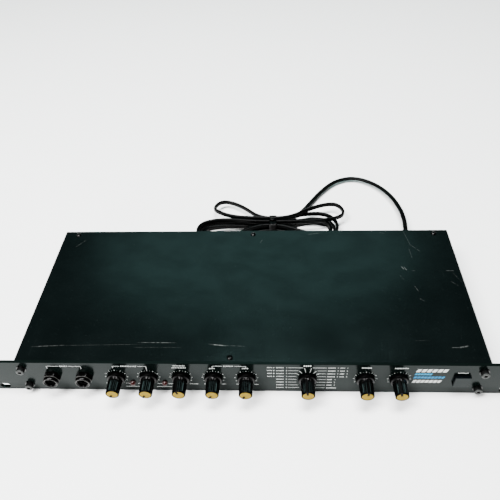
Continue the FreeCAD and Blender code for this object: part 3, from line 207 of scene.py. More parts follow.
def add_piece(name, shape, material, body, replaced=(), smooth=40.0, paleness=None):
    """A mesh at the origin that rides on a body and may stand in for CAD nodes."""
    points, corners, counts = shape
    mesh = bpy.data.meshes.new(name)
    mesh.vertices.add(len(points))
    mesh.vertices.foreach_set("co", points.ravel())
    mesh.loops.add(len(corners))
    mesh.loops.foreach_set("vertex_index", corners)
    mesh.polygons.add(len(counts))
    mesh.polygons.foreach_set("loop_start", np.cumsum(counts) - counts)
    mesh.polygons.foreach_set("use_smooth", np.ones(len(counts), bool))
    mesh.update(calc_edges=True)
    mesh.validate()
    mesh.materials.append(material)
    mesh.set_sharp_from_angle(angle=math.radians(smooth))
    if paleness is not None:
        mesh.attributes.new("paleness", "FLOAT", "POINT").data.foreach_set("value", paleness)
    piece = put_in_scene(name, mesh)
    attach(piece, body)
    if replaced:
        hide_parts(*replaced)
    return piece


def add_worn_piece(name, shapes, material, node):
    """Pairs of a surface and how pale each of its points is as one piece of the case that replaces
    a CAD node.
    """
    surfaces, paleness = zip(*shapes)
    return add_piece(name, joined(surfaces), material, "case", (node,),
                     paleness=np.concatenate(paleness))


def dress(material, *nodes):
    """Gives CAD nodes their material."""
    for node in nodes:
        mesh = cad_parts[node].data
        mesh.materials.clear()
        mesh.materials.append(material)


def centre_of(node):
    """The middle of a CAD node's box."""
    return np.mean(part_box(node), axis=0)


def surface_of(curve):
    """The surface that Blender makes from a curve, which is then removed."""
    holder = bpy.data.objects.new(curve.name, curve)
    mesh = bpy.data.meshes.new_from_object(holder)
    arrays = []
    for items, name, width, kind in (
            (mesh.vertices, "co", 3, float), (mesh.loops, "vertex_index", 1, int),
            (mesh.polygons, "loop_total", 1, int)):
        arrays.append(np.zeros(len(items) * width, kind))
        items.foreach_get(name, arrays[-1])
    bpy.data.objects.remove(holder)
    bpy.data.meshes.remove(mesh)
    bpy.data.curves.remove(curve)
    return arrays[0].reshape(-1, 3), *arrays[1:]


def full_turn(count):
    """That many angles, evenly spaced round a circle."""
    return np.linspace(0, 2 * math.pi, count, endpoint=False)


def signed_power(wave, power):
    """A wave with each value's size raised to a power and its sign kept."""
    return np.sign(wave) * np.abs(wave) ** power


def place_on_panel(profile, angles, centre, radius=None):
    """Revolves rows of (y, r) about the Y axis through a centre.

    Point (row, angle) is (x0 + r sin a, y, z0 + r cos a), where radius(r, y, a) may change r.
    """
    y, r = np.asarray(profile, float).T[:, :, None]
    a = np.asarray(angles)[None, :]
    reach = r + 0 * a if radius is None else radius(r, y, a)
    return np.stack([centre[0] + reach * np.sin(a), y + 0 * a, centre[2] + reach * np.cos(a)], -1)


def round_corners(profile, radius, steps=3):
    """Cuts each corner of an open profile into a short parabola of about that radius."""
    points = np.asarray(profile, float)
    rounded = [points[0]]
    for before, corner, after in zip(points, points[1:], points[2:]):
        to_before, to_after = before - corner, after - corner
        reach = min(radius, 0.45 * np.hypot(*to_before), 0.45 * np.hypot(*to_after))
        start = corner + to_before / np.hypot(*to_before) * reach
        end = corner + to_after / np.hypot(*to_after) * reach
        t = np.linspace(0, 1, steps + 1)[:, None]
        rounded += list((1 - t) ** 2 * start + 2 * t * (1 - t) * corner + t ** 2 * end)
    return np.array([*rounded, points[-1]])


def brick(x, y, z, turn=0.0, pivot=(0.0, 0.0), slant=0.0):
    """A box between spans, slanted along X by its height and turned clockwise about Y."""
    corners = np.array([(a, b, c) for a in x for b in y for c in z])
    dx, dz = corners[:, 0] - pivot[0], corners[:, 2] - pivot[1]
    dx = dx + slant * (corners[:, 2] - z[0])
    cos, sin = math.cos(turn), math.sin(turn)
    corners[:, 0] = pivot[0] + dx * cos + dz * sin
    corners[:, 2] = pivot[1] - dx * sin + dz * cos
    return surface(corners, np.array([[0, 1, 3, 2], [4, 6, 7, 5], [0, 4, 5, 1], [2, 3, 7, 6],
                                      [0, 2, 6, 4], [1, 5, 7, 3]]))


def carried_section(path, section, across, up):
    """Carries a closed section along a path: path + across x + up y for each of its points."""
    return (path[:, None, :] + across[:, None, :] * section[..., 0, None]
            + up[:, None, :] * section[..., 1, None])


def sides_of(path):
    """Unit directions level across a path and square to it above, at each of its points."""
    way = np.gradient(path, axis=0)
    way /= np.linalg.norm(way, axis=1)[:, None]
    level = np.cross(RISE, way)
    level /= np.linalg.norm(level, axis=1)[:, None]
    return level, np.cross(way, level)


# Materials


def set_inputs(tree, node, inputs):
    """Sets or links a node's inputs, given by name or in the order of its sockets."""
    for socket, value in inputs.items() if isinstance(inputs, dict) else enumerate(inputs):
        if isinstance(value, bpy.types.NodeSocket):
            tree.links.new(value, node.inputs[socket])
        else:
            node.inputs[socket].default_value = value


def add_node(tree, kind, inputs=(), output=0, **settings):
    """Adds a node with its settings, values and links, and returns one of its outputs."""
    node = tree.nodes.new("ShaderNode" + kind)
    for name, value in settings.items():
        setattr(node, name, value)
    set_inputs(tree, node, inputs)
    return node.outputs[output]


def finish(material, **sockets):
    """Sets or links sockets of a material's shader, named with _ for a space."""
    tree = material.node_tree
    set_inputs(tree, tree.nodes["Principled BSDF"],
               {name.replace("_", " "): value for name, value in sockets.items()})
    return material


def tone(base, factor=1.0):
    """A colour made lighter or darker, as a shader takes it."""
    return (*(min(1.0, c * factor) for c in base[:3]), 1.0)


def repeats(*size):
    """How often a pattern of that size repeats in a unit of length, along each axis."""
    return tuple(1 / (np.ones(3) * size))


def start_material(name, base, roughness, **steady):
    """A named material whose steady values are on the shader's own sockets.

    Returns the material, what adds a node to it and its object coordinates in millimetres.
    """
    material = bpy.data.materials.new(name)
    material.use_nodes = True
    finish(material, Base_Color=tone(base), Roughness=roughness, **steady)
    add = partial(add_node, material.node_tree)
    place = add("TexCoord", output="Object")
    return material, add, add("Mapping", {"Vector": place, "Scale": repeats(MM)})


def soft_material(name, base, roughness, patches, span, tints, rough=(), skin=(),
                  worked=False, **steady):
    """A material that drifts between two tints in soft patches under a fine relief.

    patches is the size and detail of a noise, and span maps it to the share of the second
    tint. skin is the size, detail and depth of the relief's noise. rough maps the patches,
    or the relief of a worked surface, to a roughness. Sizes are in millimetres.
    """
    material, add, place = start_material(name, base, roughness, **steady)
    spots, *relief = (
        add("TexNoise", {
            "Vector": add("Mapping", {"Vector": place, "Scale": repeats(*np.atleast_1d(size))}),
            "Scale": 1.0, "Detail": detail})
        for size, detail, *_ in filter(None, (patches, skin)))
    finish(material, Base_Color=add("Mix", {
        0: add("MapRange", (spots, *span)), 6: tints[0], 7: tints[1]}, 2, data_type="RGBA"))
    if skin:
        finish(material, Normal=add("Bump", {"Height": relief[0], "Distance": skin[2] * MM}))
    if rough:
        finish(material, Roughness=add("MapRange", (relief[0] if worked else spots, *rough)))
    return material


def scratch_mask(add, place, scratches):
    """Thin tapering lines between points (x0, y0, x1, y1, width, strength), in millimetres.

    Each line's own frame puts its start at 0 and runs along X; the mask is one minus the
    distance across divided by the width, times a ramp at both ends.
    """
    total = 0.0
    for x0, y0, x1, y1, width, strength in scratches:
        reach = math.hypot(x1 - x0, y1 - y0)
        local = add("Mapping", {
            "Vector": place, "Location": (x0, y0, 0.0),
            "Rotation": (0.0, 0.0, math.atan2(y1 - y0, x1 - x0))}, vector_type="TEXTURE")
        aside = add("SeparateXYZ", (local,), "Y")
        middle = add("Math", (aside.node.outputs["X"], reach / 2), operation="SUBTRACT")
        aside, ahead = (add("Math", (value,), operation="ABSOLUTE")
                        for value in (aside, middle))
        across = add("MapRange", (aside, 0.0, width, strength, 0.0))
        ends = add("MapRange", (ahead, reach / 2, reach * 0.3))
        line = add("Math", (across, ends), operation="MULTIPLY")
        total = add("Math", (total, line), operation="MAXIMUM")
    return total


def stoved_enamel(colours):
    """Semi-gloss stoved enamel: mirrors softly, with the faint ripple of sprayed paint.

    The ripple is drawn 1.6 mm wide, coarser than the real one, so that it shows.
    """
    return soft_material(
        "stoved_enamel_black", colours.panel, 0.18, ((80, 40, 40), 4.0), (0.35, 0.7),
        (tone(colours.panel, 0.85), tone(colours.panel, 1.15)), (0.3, 0.7, 0.13, 0.2),
        (1.6, 2.0, 0.004), IOR=1.47, Specular_IOR_Level=0.065,
        Specular_Tint=(0.62, 1.0, 0.94, 1.0))


# Scratches in the cover's paint that run down to bare steel, in millimetres on the model
COVER_SCRATCHES = (
    (-203.0, 15.5, -170.0, 17.5, 0.6, 0.3), (-178.0, 17.0, -95.0, 19.0, 0.35, 0.16),
    (-104.0, 21.0, -66.0, 20.8, 0.45, 0.5), (-37.0, 19.5, -20.0, 17.6, 0.7, 0.8),
    (-108.0, 15.5, -60.0, 15.6, 0.35, 0.2), (-24.0, 18.2, -2.0, 17.2, 0.4, 0.25),
    (-186.5, 162.0, -197.0, 149.0, 0.4, 0.25), (165.5, 174.0, 170.0, 148.0, 0.35, 0.22),
    (169.0, 152.0, 179.0, 140.0, 0.35, 0.25), (167.0, 146.0, 168.0, 130.0, 0.4, 0.25),
    (154.5, 119.0, 157.0, 114.0, 0.7, 0.5), (157.0, 118.5, 159.5, 113.0, 0.6, 0.45),
    (163.0, 112.5, 168.0, 112.5, 0.4, 0.25), (163.0, 92.0, 166.0, 84.0, 0.5, 0.3),
    (165.0, 75.0, 170.0, 71.0, 0.5, 0.35), (198.0, 112.5, 207.0, 112.5, 0.5, 0.4),
    (204.0, 111.5, 211.0, 96.0, 0.35, 0.2), (200.0, 98.0, 207.0, 91.0, 0.4, 0.2),
    (181.0, 17.0, 193.0, 17.2, 0.45, 0.35), (188.5, 16.8, 198.0, 19.0, 0.9, 0.6),
    (145.0, 169.5, 139.0, 171.5, 0.35, 0.25), (60.0, 168.5, 75.0, 171.0, 0.45, 0.3),
    (151.0, 107.0, 154.0, 100.0, 0.4, 0.2), (150.0, 24.5, 166.0, 24.5, 0.3, 0.12),
    (10.5, 161.0, 8.0, 155.0, 0.4, 0.3), (-213.7, 0.0, -213.7, 172.0, 0.5, 0.5),
)


def case_paint(colours, name, scratches=()):
    """Satin enamel on sheet steel: a broad dull sheen, dust specks, rubs and bare scratches.

    The sides are duller than the scratched top, so they don't mirror the floor at a low
    angle. The paint's skin is drawn 0.9 mm wide, coarser than the real one.
    """
    top_ior, side_ior = 1.5, 1.06
    material, add, place = start_material(
        name, colours.case, 0.22, IOR=top_ior if scratches else side_ior,
        Specular_IOR_Level=0.14, Specular_Tint=tone(colours.sheen))
    wiped = add("Mapping", {
        "Vector": place, "Scale": repeats(0.7, 28, 0.7), "Rotation": (0.0, 0.0, 0.5)})
    swept = add("Mapping", {
        "Vector": place, "Scale": repeats(33, 22, 22), "Rotation": (0.0, 0.0, 0.4)})
    patches, specks, skin, flakes, rubs, smudge = (
        add("TexNoise", {"Vector": where, "Scale": 1 / size, "Detail": detail})
        for where, size, detail in (
            (place, 55, 5.0), (place, 1.4, 1.0), (place, 0.9, 2.0), (place, 2, 3.0),
            (wiped, 1, 2.0), (swept, 1, 3.0)))
    rubbed = add("Math", (add("MapRange", (rubs, 0.7, 0.74, 0.0, 0.22)),
                          add("MapRange", (patches, 0.45, 0.65))), operation="MULTIPLY")
    worn = add("Math", (add("MapRange", (specks, 0.72, 0.8, 0.0, 0.35)), rubbed),
               operation="MAXIMUM")
    layers = [(add("MapRange", (patches, 0.3, 0.7)), tone(colours.case, 1.2)),
              (worn, tone(linear("#1c2322")))]
    if scratches:
        broken = add("Math", (scratch_mask(add, place, scratches),
                              add("MapRange", (flakes, 0.4, 0.6, 0.15, 1.0))),
                     operation="MULTIPLY")
        layers.append((broken, tone(colours.bare, 0.2)))
        height, top = add("SeparateXYZ", (place,), "Z"), CASE_TOP / MM
        finish(material, IOR=add("MapRange", (
            height, top - 1.5, top - 0.5, side_ior, top_ior)))
    tint = tone(colours.case, 0.85)
    for share, over in layers:
        tint = add("Mix", {0: share, 6: tint, 7: over}, 2, data_type="RGBA")
    return finish(
        material, Base_Color=tint, Roughness=add("MapRange", (patches, 0.3, 0.75, 0.18, 0.23)),
        Specular_IOR_Level=add("MapRange", (smudge, 0.38, 0.62, 0.115, 0.155)),
        Normal=add("Bump", {"Height": skin, "Distance": 0.012 * MM}))


def moulded_plastic(name, base, roughness, grain=0.006, **steady):
    """Moulded plastic such as ABS: even colour, a fine skin and duller patches."""
    return soft_material(
        name, base, roughness, (6, 3.0), (0.0, 1.0), (tone(base, 0.9), tone(base, 1.1)),
        (0.3, 0.7, roughness * 0.8, roughness * 1.25), (0.35, 2.0, grain),
        **{"IOR": 1.53, "Specular_IOR_Level": 0.18, **steady})


def knob_plastic(colours):
    """Black ABS, polished by hands along the body and duller on its skirt and front rim."""
    polished, moulded, face = (0.12, 0.15), (0.005, 0.4), PANEL_FRONT / MM
    material, add, place = start_material("abs_black", colours.knob, polished[1], IOR=1.53,
                                          Specular_IOR_Level=polished[0])
    depth = add("SeparateXYZ", (place,), "Y")
    dull = add("Math", (add("MapRange", (depth, face - 4.1, face - 3.5)),
                        add("MapRange", (depth, face - 18.5, face - 18.3, 1.0, 0.0))),
               operation="MAXIMUM")
    level, rough = (add("MapRange", (dull, 0.0, 1.0, *ends)) for ends in zip(polished, moulded))
    skin = add("TexNoise", {"Vector": place, "Scale": 1 / 0.35, "Detail": 2.0})
    return finish(material, Specular_IOR_Level=level, Roughness=rough,
                  Normal=add("Bump", {"Height": skin, "Distance": 0.0015 * MM}))


def cap_disc(colours):
    """Beige ABS disc with a matt face and a few darker smudges."""
    return soft_material(
        "beige_abs", colours.cap, 0.45, (3, 3.0), (0.3, 0.7),
        (tone(colours.cap, 0.88), tone(colours.cap, 1.08)), (0.3, 0.7, 0.4, 0.52),
        (0.25, 2.0, 0.006), IOR=1.53, Specular_IOR_Level=0.03)


def screen_ink(name, base):
    """Screen-printed epoxy ink: flat, a little rubbed and uneven."""
    return soft_material(name, base, 0.55, (1.2, 3.0), (0.35, 0.65), (tone(base, 0.72), tone(base)),
                         skin=(0.3, 3.0, 0.003), IOR=1.5, Specular_IOR_Level=0.1)


def machined_metal(name, base, roughness, grain, direction=(1.0, 1.0, 1.0)):
    """Bare or plated metal with tool marks along one way and a little grime."""
    return soft_material(
        name, base, roughness, (4, 4.0), (0.45, 0.75, 0.0, 0.35), (tone(base), tone(base, 0.3)),
        (0.3, 0.7, roughness * 0.75, roughness * 1.3), (grain * np.array(direction), 2.0, 0.006),
        True, Metallic=1.0)


def worn_black(name, base, worn, gloss=0.08):
    """Black finish made pale where the mesh's own attribute says, in broken patches: rubbed bare on
    the socket screws, and a painted highlight along the jack nuts' rims.
    """
    material, add, place = start_material(name, base, 0.22, IOR=1.5, Specular_IOR_Level=gloss)
    edge = add("Attribute", output="Fac", attribute_name="paleness")
    chips, skin = (add("TexNoise", {"Vector": place, "Scale": 1 / size, "Detail": 3.0})
                   for size in (1.5, 0.4))
    share = add("Math", (edge, add("MapRange", (chips, 0.3, 0.6, 0.35, 1.0))),
                operation="MULTIPLY")
    return finish(
        material, Roughness=add("MapRange", (share, 0.0, 1.0, 0.2, 0.45)),
        Base_Color=add("Mix", {0: share, 6: tone(base), 7: tone(worn)}, 2, data_type="RGBA"),
        Normal=add("Bump", {"Height": skin, "Distance": 0.003 * MM}))


def lamp_epoxy(colours):
    """Cast epoxy lens: dark red and clear enough to glow at its rim."""
    return soft_material(
        "red_epoxy", colours.lamp, 0.12, (1.5, 3.0), (0.0, 1.0),
        (tone(colours.lamp, 0.8), tone(colours.lamp, 1.3)), IOR=1.55, Specular_IOR_Level=0.12,
        Transmission_Weight=0.1)


def soft_vinyl(colours):
    """Extruded plasticised PVC: black with a soft sheen, a drawn grain and some dust."""
    return soft_material(
        "pvc_black", colours.cord, 0.32, (2.5, 4.0), (0.5, 0.8, 0.0, 0.4),
        (tone(colours.cord), tone(linear("#0a1111"))), (0.3, 0.7, 0.26, 0.36),
        (0.5, 2.0, 0.01), IOR=1.52, Specular_IOR_Level=0.03)


def patterned(name, hex_code, roughness, tints, depth, pattern, steady):
    """A material of two tints and a relief that both follow one regular pattern."""
    base = linear(hex_code)
    material, add, place = start_material(name, base, roughness, **steady)
    kind, inputs, settings = pattern
    share = add(kind, {"Vector": place, **inputs}, "Fac", **settings)
    first, second = (tone(base, factor) for factor in tints)
    return finish(
        material, Base_Color=add("Mix", {0: share, 6: first, 7: second}, 2, data_type="RGBA"),
        Normal=add("Bump", {"Height": share, "Distance": depth * MM}))


def circuit_board():
    """Solder mask over copper: tracks a millimetre wide under green lacquer."""
    return patterned("solder_mask_green", "#1d5a34", 0.3, (0.8, 1.9), 0.03, (
        "TexBrick", {"Scale": MM, "Mortar Size": 0.3 * MM, "Brick Width": 9 * MM,
                     "Row Height": 1.3 * MM}, {"offset": 0.5}), {"IOR": 1.55})


def stacked_laminations():
    """Silicon steel sheets half a millimetre thick, stacked along Y and varnished."""
    return patterned("silicon_steel", "#5d5c59", 0.45, (0.5, 1.0), 0.05, (
        "TexWave", {"Scale": 1 / 0.5 / 20, "Distortion": 0.2}, {"bands_direction": "Y"}),
        {"Metallic": 0.7})


def studio_paper(colours):
    """Matt coated paper: near white with a very faint tooth."""
    return soft_material("coated_paper", colours.floor, 0.5, (3, 3.0), (0.0, 1.0),
                         (tone(colours.floor, 0.985), tone(colours.floor)),
                         skin=(3, 3.0, 0.01))


# Shapes


def knob_surface(centre, turn, sizes):
    """A fluted knob on a flared skirt, hollow behind, and its pointer ridge.

    Rows follow a profile of (y, r) from the bore's end outwards to the seat of the cap.
    On the body r loses depth times (0.5 - 0.5 cos(n a)) squared, which cuts n narrow
    flutes, and the loss fades in over the first and last millimetre of the body.
    """
    back, front = PANEL_FRONT - 0.4 * MM, PANEL_FRONT - 18.4 * MM
    profile = np.array([
        (-15.9, 0.6), (-15.9, 3.05), (-3.2, 3.05), (-3.2, 6.37), (-0.4, 6.37), (-0.4, 8.5),
        (-2.4, 8.5), (-3.4, 8.2), (-3.8, 7.6), (-3.9, 6.9), (-4.1, 6.55), (-6.2, 6.5),
        (-17.3, 6.2), (-18.5, 6.15), (-18.78, 5.8), (-18.78, 5.0), (-18.6, 5.0), (-18.6, 5.55),
        (-17.4, 5.55), (-17.4, 0.6)]) * MM
    profile[:, 0] += PANEL_FRONT
    profile = round_corners(profile, 0.45 * MM)
    body = (profile[:, 0] < back - 3.9 * MM) & (profile[:, 1] > 5.9 * MM)
    steps = np.linspace(0, 1, 9)[1:-1]
    outer = np.flatnonzero(body)
    gap = outer[np.argmax(np.diff(profile[outer, 0]) * -1)]
    between = profile[gap] + steps[:, None] * (profile[gap + 1] - profile[gap])
    profile = np.insert(profile, gap + 1, between, axis=0)
    angles = full_turn(sizes.flute_count * 8)

    def fluted(r, y, a):
        on_body = (r > 5.9 * MM) & (r < 6.62 * MM)
        fade = np.clip((back - 4.6 * MM - y) / MM, 0, 1) * np.clip((y - front) / MM, 0, 1)
        wave = (0.5 - 0.5 * np.cos(sizes.flute_count * (a + math.pi / sizes.flute_count))) ** 2
        return r - on_body * fade * sizes.flute_depth * wave

    shell = outward(closed_surface(place_on_panel(profile, angles, centre, fluted)))
    spans = (((front - 0.4 * MM, front + 1.5 * MM), (1.6 * MM, 6.1 * MM)),
             ((front + 0.4 * MM, back - 4.4 * MM), (5.8 * MM, 6.8 * MM)))
    ridge = [brick((centre[0] - 1.0 * MM, centre[0] + 1.0 * MM), reach,
                   (centre[2] + low, centre[2] + high), math.radians(turn),
                   (centre[0], centre[2])) for reach, (low, high) in spans]
    return shell, joined(ridge)


def lens_surface(centre, back):
    """A signal light: a domed lens on a rim that rests on the panel, with its two legs.

    Rows follow a profile of (y, r) from the flange behind the panel to the rim; the dome is
    y = y0 - 2.6 mm sin(b), r = 2.55 mm cos(b) for b from 0 to 85 degrees.
    """
    b = np.radians(np.linspace(0, 85, 9))
    dome = np.stack([PANEL_FRONT - (0.7 + 2.6 * np.sin(b)) * MM, 2.55 * MM * np.cos(b)], -1)
    stem = np.array([(0.8, 0.5), (0.8, 2.5), (0.05, 2.5), (0.05, 2.2)]) * MM
    rim = np.array([(-0.02, 2.2), (-0.02, 2.9), (-0.45, 2.9), (-0.6, 2.6)]) * MM
    rim[:, 0] += PANEL_FRONT
    angles = full_turn(48)
    shell = closed_surface(place_on_panel(np.concatenate([stem, rim, dome]), angles, centre))
    legs = [brick((centre[0] + (side * 1.1 - 0.25) * MM, centre[0] + (side * 1.1 + 0.25) * MM),
                  (0.7 * MM, back), (centre[2] - 0.25 * MM, centre[2] + 0.25 * MM))
            for side in (-1, 1)]
    return joined([outward(shell)] + legs)


def hex_nut_surface(x, back, across, rows, seat, crown):
    """A bored hexagon nut and how pale each of its points is, from rows of (y, r, paleness) that
    start at back.

    Between seat and crown along Y the hexagon's radius is apothem / cos(a folded into 60
    degrees); the rows cut its corners, so each point takes the smaller of the two. All
    sizes but x and back are in millimetres.
    """
    apothem, slack = across / 2 * MM, 1e-6
    rows = np.array(rows) * (MM, MM, 1) + (back, 0, 0)
    low, high = sorted((back + seat * MM, back + crown * MM))

    def hexagonal(r, y, a):
        fold = (a + math.pi / 6) % (math.pi / 3) - math.pi / 6
        six_sided = (y > low - slack) & (y < high + slack) & (r > apothem * 0.9)
        return np.where(six_sided, np.minimum(r, apothem / np.cos(fold)), r)

    angles = full_turn(96)
    points = place_on_panel(rows[:, :2], angles, (x, 0, CONTROL_HEIGHT), hexagonal)
    return outward(ring_surface(points)), np.repeat(rows[:, 2], len(angles))


def input_nut(x):
    """An input jack's nut: a hexagon with a domed collar; its front chamfer and the collar's front
    rim carry a painted highlight.
    """
    # The third column's 0.7 and 1 paint a highlight along the hexagon's front chamfer and the
    # collar's front rim.
    return hex_nut_surface(x, 0.0, 14.4, [
        (-3.0, 5.55, 0), (-3.0, 6.9, 0), (-3.6, 8.32, 0), (-6.9, 8.32, 0), (-7.6, 7.75, 0),
        (-7.8, 7.5, 0.7), (-8.0, 7.25, 0), (-8.0, 6.85, 0), (-8.3, 7.0, 0), (-9.4, 6.95, 0),
        (-10.6, 6.75, 0), (-10.9, 6.5, 0), (-11.0, 6.3, 1), (-11.0, 6.1, 0), (-10.9, 5.75, 0),
        (-10.6, 5.2, 0), (-10.2, 4.8, 0), (-8.0, 4.8, 0), (-8.0, 5.55, 0)], -3.0, -8.0)


def output_nut(x):
    """An output jack's flat hexagon nut behind the rear panel."""
    return hex_nut_surface(x, REAR, 14.0, [
        (0.0, 5.55, 0), (0.0, 6.6, 0), (0.4, 8.1, 0.2), (2.0, 8.1, 0.2), (2.4, 7.2, 0.8),
        (2.5, 6.9, 0.2), (2.5, 5.55, 0)], 0.0, 2.5)


def cap_screw_surface(x, z):
    """A hex socket cap screw with its shank, knurled round its rim, and its wear.

    The rim's radius is r (1 + 0.02 |cos 18 a|), and the socket's wall is a hexagon.
    """
    rows = np.array([(2.4, 0.1, 0), (2.4, 1.6, 0), (0.5, 1.7, 0.1), (0.1, 1.75, 0.5),
                     (0.0, 1.95, 1), (0.0, 2.8, 0.7), (0.15, 3.25, 0.9), (0.5, 3.5, 0.6),
                     (0.9, 3.52, 0.1), (3.4, 3.52, 0), (3.95, 3.45, 0.1), (4.0, 3.3, 0),
                     (4.0, 2.0, 0), (12.6, 2.0, 0), (13.0, 1.6, 0), (13.0, 0.1, 0)])
    rows = rows * (MM, MM, 1) + (PANEL_FRONT - 4.8 * MM, 0, 0)
    angles = full_turn(144)

    def shaped(r, y, a):
        fold = a % (math.pi / 3) - math.pi / 6
        socket = np.minimum(r, 1.5 * MM / np.cos(fold))
        knurl = r * (1 + 0.02 * np.abs(np.cos(18 * a)) * (r > 3.3 * MM))
        return np.where(r < 1.8 * MM, socket, knurl)

    head = outward(closed_surface(place_on_panel(rows[:, :2], angles, (x, 0, z), shaped)))
    return head, np.append(np.repeat(rows[:, 2], len(angles)), [0.0, 0.0])


def pan_screw_surface(place):
    """A pan-head screw whose head is a dome with a sunk cross.

    The dome's height is 1.5 (1 - (r / 2.8)^2.4)^0.6 millimetres, less 1 where the point lies in
    either arm of the cross. place turns (across, along, height) into a point of the model.
    """
    a = full_turn(64)[None]
    h, r = np.array([(-6.0, 0.1), (-6.0, 1.2), (-5.6, 1.5), (0.0, 1.5), (0.0, 2.8),
                     *((0.2, r) for r in np.linspace(2.8, 0.06, 20))]).T[:, :, None]
    u, v = r * np.cos(a), r * np.sin(a)
    near, far = np.minimum(abs(u), abs(v)), np.maximum(abs(u), abs(v))
    dome = 1.5 * np.clip(1 - (r / 2.8) ** 2.4, 0, 1) ** 0.6 - 1.0 * ((near < 0.36) & (far < 1.6))
    height = h + 0 * a + (h > 0.1) * dome
    return outward(closed_surface(np.stack(place(u * MM, v * MM, height * MM), -1)))


def hank_control_points():
    """The cord's way through its hank, as control points in millimetres.

    Stations are points with the cord's direction, as the model winds them. Between two of them
    lie two control points, at the distance d ahead of the first and behind the second that
    makes two arcs meet: (t.t - 4) d^2 - 2 (v.t) d + v.v = 0, with v the step and t the sum of
    both directions.
    """
    rest, step, half, lift = 2.7, 5.9, 13.4, 1.9
    layers = [rest + 5.5 * k for k in range(3)]
    middle = np.array([21.6, 221.0, 0.0])
    stations = []

    def cross(turn, layer, heading):
        offset = -heading * (half - step * turn)
        stations.append((middle + (0, offset, layers[layer] + lift), np.array([heading, 0.0, 0])))

    def lobe(side, reach, tilt, width, turns, heights, loose=False):
        angle = math.radians(tilt)
        along = np.array([side * math.cos(angle), math.sin(angle), 0.0])
        across = np.array([-along[1], along[0], 0.0]) * side
        flank = 1 if loose else -side
        out, tip, back = (step * turn for turn in turns)
        for ahead, aside, way, height in (
                (reach - width, flank * (width - out), along, heights[0]),
                (reach - tip, 0.0, -flank * across, heights[1]),
                (reach - width, -flank * (width - back), -along, heights[2])):
            stations.append((middle + along * ahead + across * aside + (0, 0, height), way))

    left, right, inner = (-1, 95.0, -8.0, 21.5), (1, 80.0, 0.0, 24.5), (1, 78.0, -4.0, 20.4)
    inward = np.array([-0.73, -0.68, 0.0])
    inward /= np.linalg.norm(inward)
    start = np.array([45.5, 244.5, rest])
    stations += [(start, inward), (start + inward * 4.8, inward)]
    cross(0, 0, -1)
    for turn in (0, 1):
        lobe(*left, (turn + 0.125, turn + 0.25, turn + 0.375), [layers[0]] * 3)
        cross(turn + 0.5, 0, 1)
        lobe(*right, (turn + 0.625, turn + 0.75, turn + 0.875), [layers[0]] * 3)
        cross(turn + 1, 0, -1)
    lobe(*left, (2.05, 2.0, 1.75), [layers[1]] * 3)
    cross(1.5, 1, 1)
    for turn in (1, 0):
        lobe(*(inner if turn else right), (turn + 0.375, turn + 0.25, turn + 0.125),
             [layers[1]] * 3)
        cross(turn, 1, -1)
        if turn:
            lobe(*left, (turn - 0.125, turn - 0.25, turn - 0.375), [layers[1]] * 3)
            cross(turn - 0.5, 1, 1)
    top, none = layers[2], (0, 0, 0)
    right_way = np.array([1.0, 0.0, 0.0])
    lobe(-1, 82.0, 29.0, 14.5, none, (8.5, 10.0, top + 0.4), True)
    stations.append((middle + (0, 6.6, top + lift), right_way))
    lobe(1, 90.0, 16.5, 14.0, none, (top + 0.4, 13.0, top + 0.4), True)
    stations.append((middle + (0, 0, top + lift), -right_way))
    lobe(-1, 92.0, -10.0, 17.0, none, (top + 0.2, top, top + 0.2), True)
    stations.append((middle + (0, -6.6, top + lift), right_way))
    plug = np.array([107.0, 186.5, 6.8])
    for point, way in (((56.0, 204.5, 14.3), (0.92, -0.4, 0.0)),
                       ((80.0, 190.2, 11.9), (0.9, -0.2, -0.3)),
                       (plug - right_way * 4.8, right_way)):
        way = np.array(way)
        stations.append((np.array(point), way / np.linalg.norm(way)))
    points = []
    for (p0, t0), (p1, t1) in zip(stations[1:], stations[2:]):
        v, t = p1 - p0, t0 + t1
        a, b, c = t @ t - 4, -2 * v @ t, v @ v
        d = -c / b if abs(a) < 1e-9 else min(
            r for r in np.roots([a, b, c]).real if r > 0)
        points += [p0 + t0 * d, p1 - t1 * d]
    return [stations[0][0], *points, plug]


def make_stage(colours):
    """The floor, the soft lights and the dim surroundings."""
    half = 4.0
    floor = bpy.data.meshes.new("studio_floor")
    floor.from_pydata([(-half, -half, 0), (half, -half, 0), (half, half, 0), (-half, half, 0)],
                      [], [(0, 1, 2, 3)])
    floor.materials.append(studio_paper(colours))
    put_in_scene("studio_floor", floor)
    lamps = (
        ("light_overhead", (0.0, 0.1, 1.9), (0.0, 0.05, 0.0), 1.2, 0.5, 112.0, 1.0),
        ("light_left", (-0.85, -0.35, 1.7), (0.0, 0.0, 0.0), 0.8, 0.8, 108.0, 1.0),
        ("light_front", (-0.6, -1.6, 0.7), (0.0, 0.0, 0.0), 0.5, 0.4, 20.0, 1.0),
        ("light_back", (-0.1, 2.18, 2.1), (0.0, 0.1, 0.0), 2.1, 0.8, 10.2, 0.5),
        ("light_crown", (0.05, 1.08, 2.1), (0.0, 0.0, 0.0), 0.9, 0.3, 9.0, 0.6),
    )
    for name, at, aim, wide, tall, watts, red in lamps:
        lamp = bpy.data.lights.new(name, "AREA")
        lamp.shape = "ELLIPSE"
        lamp.size, lamp.size_y, lamp.energy = wide, tall, watts
        lamp.color = (red, 1.0, 1.0 - 0.06 * (1.0 - red))
        way = np.array(aim) - np.array(at)
        way /= np.linalg.norm(way)
        side = np.cross(way, RISE if abs(way[2]) < 0.99 else np.array([0.0, 1.0, 0.0]))
        side /= np.linalg.norm(side)
        put_in_scene(name, lamp, np.array([side, np.cross(side, way), -way]).T, at)
    world = bpy.data.worlds.new("studio_surroundings")
    world.use_nodes = True
    set_inputs(world.node_tree, world.node_tree.nodes["Background"], {
        "Color": (0.9, 0.95, 1.0, 1.0), "Strength": 0.04})
    bpy.context.scene.world = world


